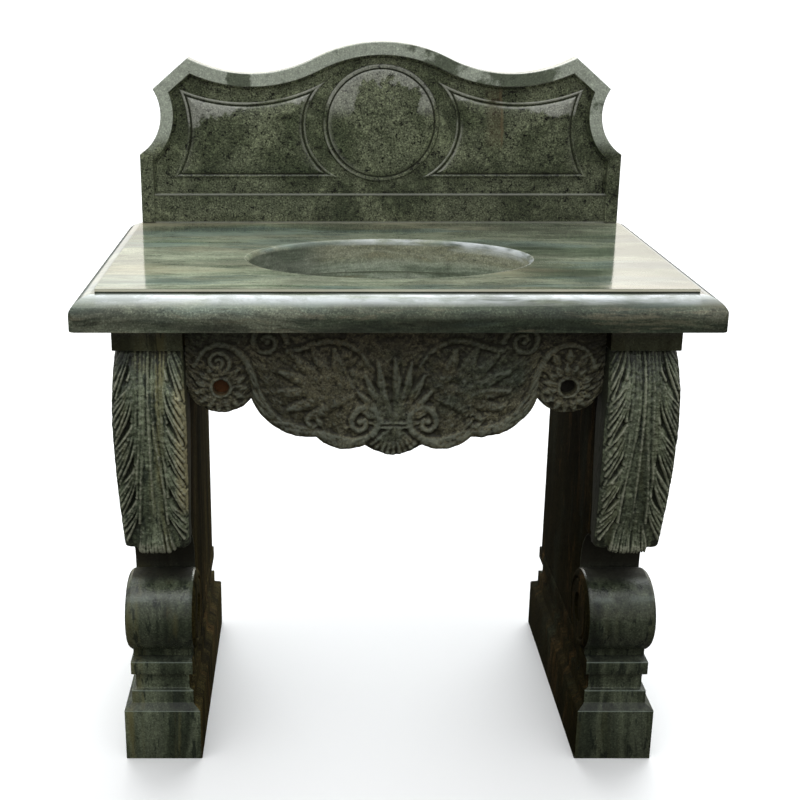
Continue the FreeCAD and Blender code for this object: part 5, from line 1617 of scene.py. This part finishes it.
def drop_leaf(relief, root, tip, width, height, bow=0.0, crease=0.8):
    """Leaf finger from its root to its tip."""
    root, tip = np.array(root, float), np.array(tip, float)
    run = tip - root
    middle = (root + tip) / 2 + bow * np.array([-run[1], run[0]])
    relief.ridge(flowing([root, middle, tip], 6), (0.3 * width, 0.75 * width, width, 0.35 * width),
                 (0.45 * height, 0.7 * height, height, 0.8 * height), 0.55, crease)


def apron_middle(relief):
    """Shell and palmette, with the tie between them."""
    across, level = TIE
    for angle in np.linspace(-46, 46, 9):
        turn = math.radians(angle)
        end = (across + SHELL_REACH * math.sin(turn), level - SHELL_REACH * math.cos(turn))
        relief.ridge([TIE, end], (2.0, 4.4), (4.5, 6.6))
        relief.bead(end, 4.4, 7.4)
    for angle, reach in PALMETTE:
        turn = math.radians(angle)
        for side in ((1,) if angle == 0 else (-1, 1)):
            root = (side * 3.0 * math.sin(turn), level + 6.0)
            tip = (side * reach * math.sin(turn), level + 4.0 + reach * math.cos(turn))
            drop_leaf(relief, root, tip, 8.2, 6.6, -0.04 * side)
    for bar in (613.0, 620.5):
        relief.ridge([(-23.0, bar), (23.0, bar)], (3.4, 3.4), (7.4, 7.4))


def apron_side(relief, side):
    """Scroll, rim, spray, wing and rosette of one half, with a volute on the left and leaves on the right."""
    def placed(*points):
        return [(side * x, z) for x, z in points]

    scroll_eye, spray_eye, wing_root, hole = placed(SCROLL_EYE, SPRAY_EYE, WING_ROOT, HOLE_MIDDLE)
    relief.ridge(flowing(placed(*SCROLL), 6), (5.0, 6.5, 7.0, 6.5, 5.5, 4.5),
                 (4.6, 6.2, 6.8, 6.8, 6.6, 6.0), crease=0.9, light=0.5)
    relief.bead(scroll_eye, 6.5, 7.6)
    relief.ridge(flowing(placed(*SIDE_RIM), 6), (4.0, 6.5, 7.0, 6.5, 5.5, 4.0),
                 (4.0, 6.0, 6.2, 6.2, 5.8, 4.0), crease=0.9, light=0.3)
    for root, tip, width, height in SCROLL_LEAVES:
        drop_leaf(relief, *placed(root, tip), width, height)
    relief.ridge(flowing(placed(*TOP_SPRAY), 6), (3.0, 5.5, 6.0, 4.5), (3.0, 5.2, 5.6, 4.0), crease=0.7)
    curl = spiral(spray_eye, 180 if side > 0 else 0, -1.4 * side, 32.0, 8.0)
    relief.ridge(curl, (5.5, 5.0, 4.0), (5.0, 5.6, 5.6), crease=0.7)
    relief.bead(spray_eye, 6.0, 6.4)
    for angle, reach, bow in WING:
        turn = math.radians(angle)
        drop_leaf(relief, about(wing_root, 8.0, turn, side), about(wing_root, reach, turn, side),
                  13.0, 6.0, -bow * side, 0.5)
    for index in range(ROSETTE_PETALS):
        turn = 2 * math.pi * index / ROSETTE_PETALS
        drop_leaf(relief, about(hole, 15.0, turn), about(hole, 40.0, turn), 7.6, 6.0)
    ring = [about(hole, 16.0, turn) for turn in np.linspace(0, 2 * math.pi, 40)]
    relief.ridge(ring, (3.2, 3.2), (5.2, 5.2))
    if side < 0:
        volute = spiral(LEFT_VOLUTE, 250, 1.7, 23.0, 4.0)
        relief.ridge(volute, (4.6, 4.2, 3.4), (6.4, 6.8, 7.0), crease=0.6)
    else:
        for angle in ROSETTE_CREST:
            turn = math.radians(angle)
            drop_leaf(relief, about(hole, 38.0, turn), about(hole, 62.0, turn), 8.0, 6.4)


def apron_rim(relief, outline):
    """Plain rounded rim on the lower edge, from the shell to the rosettes."""
    here, distance, _ = relief.near(outline, RIM_WIDTH + 6.0)
    rounded = RIM_HEIGHT * np.sqrt(np.clip(1 - ((RIM_WIDTH - distance) / (RIM_WIDTH + 1.0)) ** 2, 0, 1))
    fall = RIM_HEIGHT * np.clip(1 - (distance - RIM_WIDTH) / 4.0, 0, 1) ** 0.6
    far = np.abs(relief.across[here])
    plain = eased(far, 42.0, 50.0) * (1 - eased(far, 226.0, 236.0))
    covered = np.where(distance < RIM_WIDTH, rounded, np.maximum(relief.height[here], fall))
    relief.height[here] = relief.height[here] * (1 - plain) + covered * plain
    relief.light[here] += 0.45 * plain * np.clip(1 - np.abs(distance - 9.0) / 5.0, 0, 1)


def apron_height(across, up):
    """Carving of the apron, the light painted on it, and the apron's lower outline."""
    relief = Relief(across, up)
    edge = apron_half_edge()
    outline = np.vstack([mirrored(edge), edge[1:]])
    apron_middle(relief)
    for side in (-1, 1):
        apron_side(relief, side)
    apron_rim(relief, outline)
    return relief.rows(), relief.light.reshape(relief.shape), outline


class VANITY_OT_apron(bpy.types.Operator):
    """Carved apron between the legs"""

    bl_idname = "vanity.apron"
    bl_label = "Apron"

    def execute(self, context):
        sizes = context.scene.vanity_sizes
        edge = apron_half_edge()
        across = np.linspace(-APRON_END, APRON_END, APRON_COLUMNS)
        bottom = np.interp(np.abs(across), edge[:, 0], edge[:, 1])
        rows = np.linspace(0, 1, APRON_ROWS)[:, None]
        up = bottom + (APRON_TOP - bottom) * rows
        grid_across = np.broadcast_to(across, up.shape)
        height, light, outline = apron_height(grid_across, up)
        draw = np.random.default_rng(APRON_SEED)
        height = blurred(height, 2) * (sizes.apron_relief / MM / APRON_DRAWN)
        height += rough_stone(height.shape, draw, coarse=0.55, fine=0.30) * sizes.tooling / MM
        face = Relief(grid_across, up)
        here, distance, _ = face.near(outline, APRON_ROUNDING)
        dip = np.zeros(height.size)
        gap = np.clip(APRON_ROUNDING - distance, 0, APRON_ROUNDING)
        dip[here] = APRON_ROUNDING - np.sqrt(APRON_ROUNDING ** 2 - gap * gap)
        points = np.stack([grid_across, APRON_GROUND - height + dip.reshape(height.shape), up], axis=2)
        apron = shaped_grid("apron_stone", points * MM)
        # Wear and painted light: ridges and hollows, the light painted on the carving, and painted shadow
        # under the slab at the top
        wear = ridges_and_hollows(height, reach=16, depth=1.6) + light - 0.25 * eased(up, 690.0, 770.0)
        keep_wear_and_light(apron, np.clip(wear, -1, 1))
        back_to_plane(apron, APRON_BACK)
        for side in (-1, 1):
            deselect()
            bpy.ops.mesh.primitive_cylinder_add(
                vertices=40, radius=HOLE_RADIUS * MM, depth=2 * HOLE_DEPTH * MM,
                location=(side * HOLE_MIDDLE[0] * MM, APRON_FRONT * MM, HOLE_MIDDLE[1] * MM),
                rotation=(math.pi / 2, 0.0, 0.0))
            cut_away(apron, newest("hole_cutter"))
        smooth(apron, CARVED_ANGLE)
        settle(apron, apron_finish(), "apron_stone", "apron")
        return {"FINISHED"}


class VANITY_OT_fittings(bpy.types.Operator):
    """Finishes of the outlet, the plug and the hidden fixings"""

    bl_idname = "vanity.fittings"
    bl_label = "Fittings"

    def execute(self, context):
        tints = context.scene.vanity_colours
        finishes = {
            "chrome": metal_finish("polished_chrome", tints.chrome, rough=0.06, scratch=0.12),
            "steel": metal_finish("brushed_steel", tints.steel, rough=0.25, scratch=0.25),
            "brass": metal_finish("machined_brass", tints.brass, rough=0.2, scratch=0.2),
            "rubber": moulded_finish("black_rubber", tints.rubber, rough=0.55),
            "nylon": moulded_finish("pale_nylon", tints.nylon, rough=0.4),
        }
        for row in frame["record"]["subparts"]:
            if row["material_slot"] in finishes:
                paint(row["node"], finishes[row["material_slot"]])
        return {"FINISHED"}


class VANITY_PT_panel(bpy.types.Panel):
    """Steps of the vanity sink"""

    bl_idname = "VANITY_PT_panel"
    bl_label = "Vanity sink"
    bl_space_type = "VIEW_3D"
    bl_region_type = "UI"
    bl_category = "Vanity sink"

    def draw(self, context):
        for operator in OPERATORS:
            self.layout.operator(operator.bl_idname)
        for group in (context.scene.vanity_sizes, context.scene.vanity_colours, context.scene.vanity_stage):
            column = self.layout.column()
            for name in group.__annotations__:
                column.prop(group, name)


GROUPS = {"vanity_colours": VanityColours, "vanity_sizes": VanitySizes, "vanity_stage": VanityStage}
OPERATORS = (VANITY_OT_stage, VANITY_OT_slab, VANITY_OT_backsplash, VANITY_OT_legs, VANITY_OT_leaves,
             VANITY_OT_apron, VANITY_OT_fittings)


def register():
    for group in GROUPS.values():
        bpy.utils.register_class(group)
    for operator in OPERATORS:
        bpy.utils.register_class(operator)
    bpy.utils.register_class(VANITY_PT_panel)
    for name, group in GROUPS.items():
        setattr(bpy.types.Scene, name, PointerProperty(type=group))


def unregister():
    for name in GROUPS:
        delattr(bpy.types.Scene, name)
    for item in (VANITY_PT_panel, *OPERATORS, *GROUPS.values()):
        bpy.utils.unregister_class(item)


def main():
    register()
    for operator in OPERATORS:
        group, name = operator.bl_idname.split(".")
        getattr(getattr(bpy.ops, group), name)()


if __name__ == "__main__":
    main()
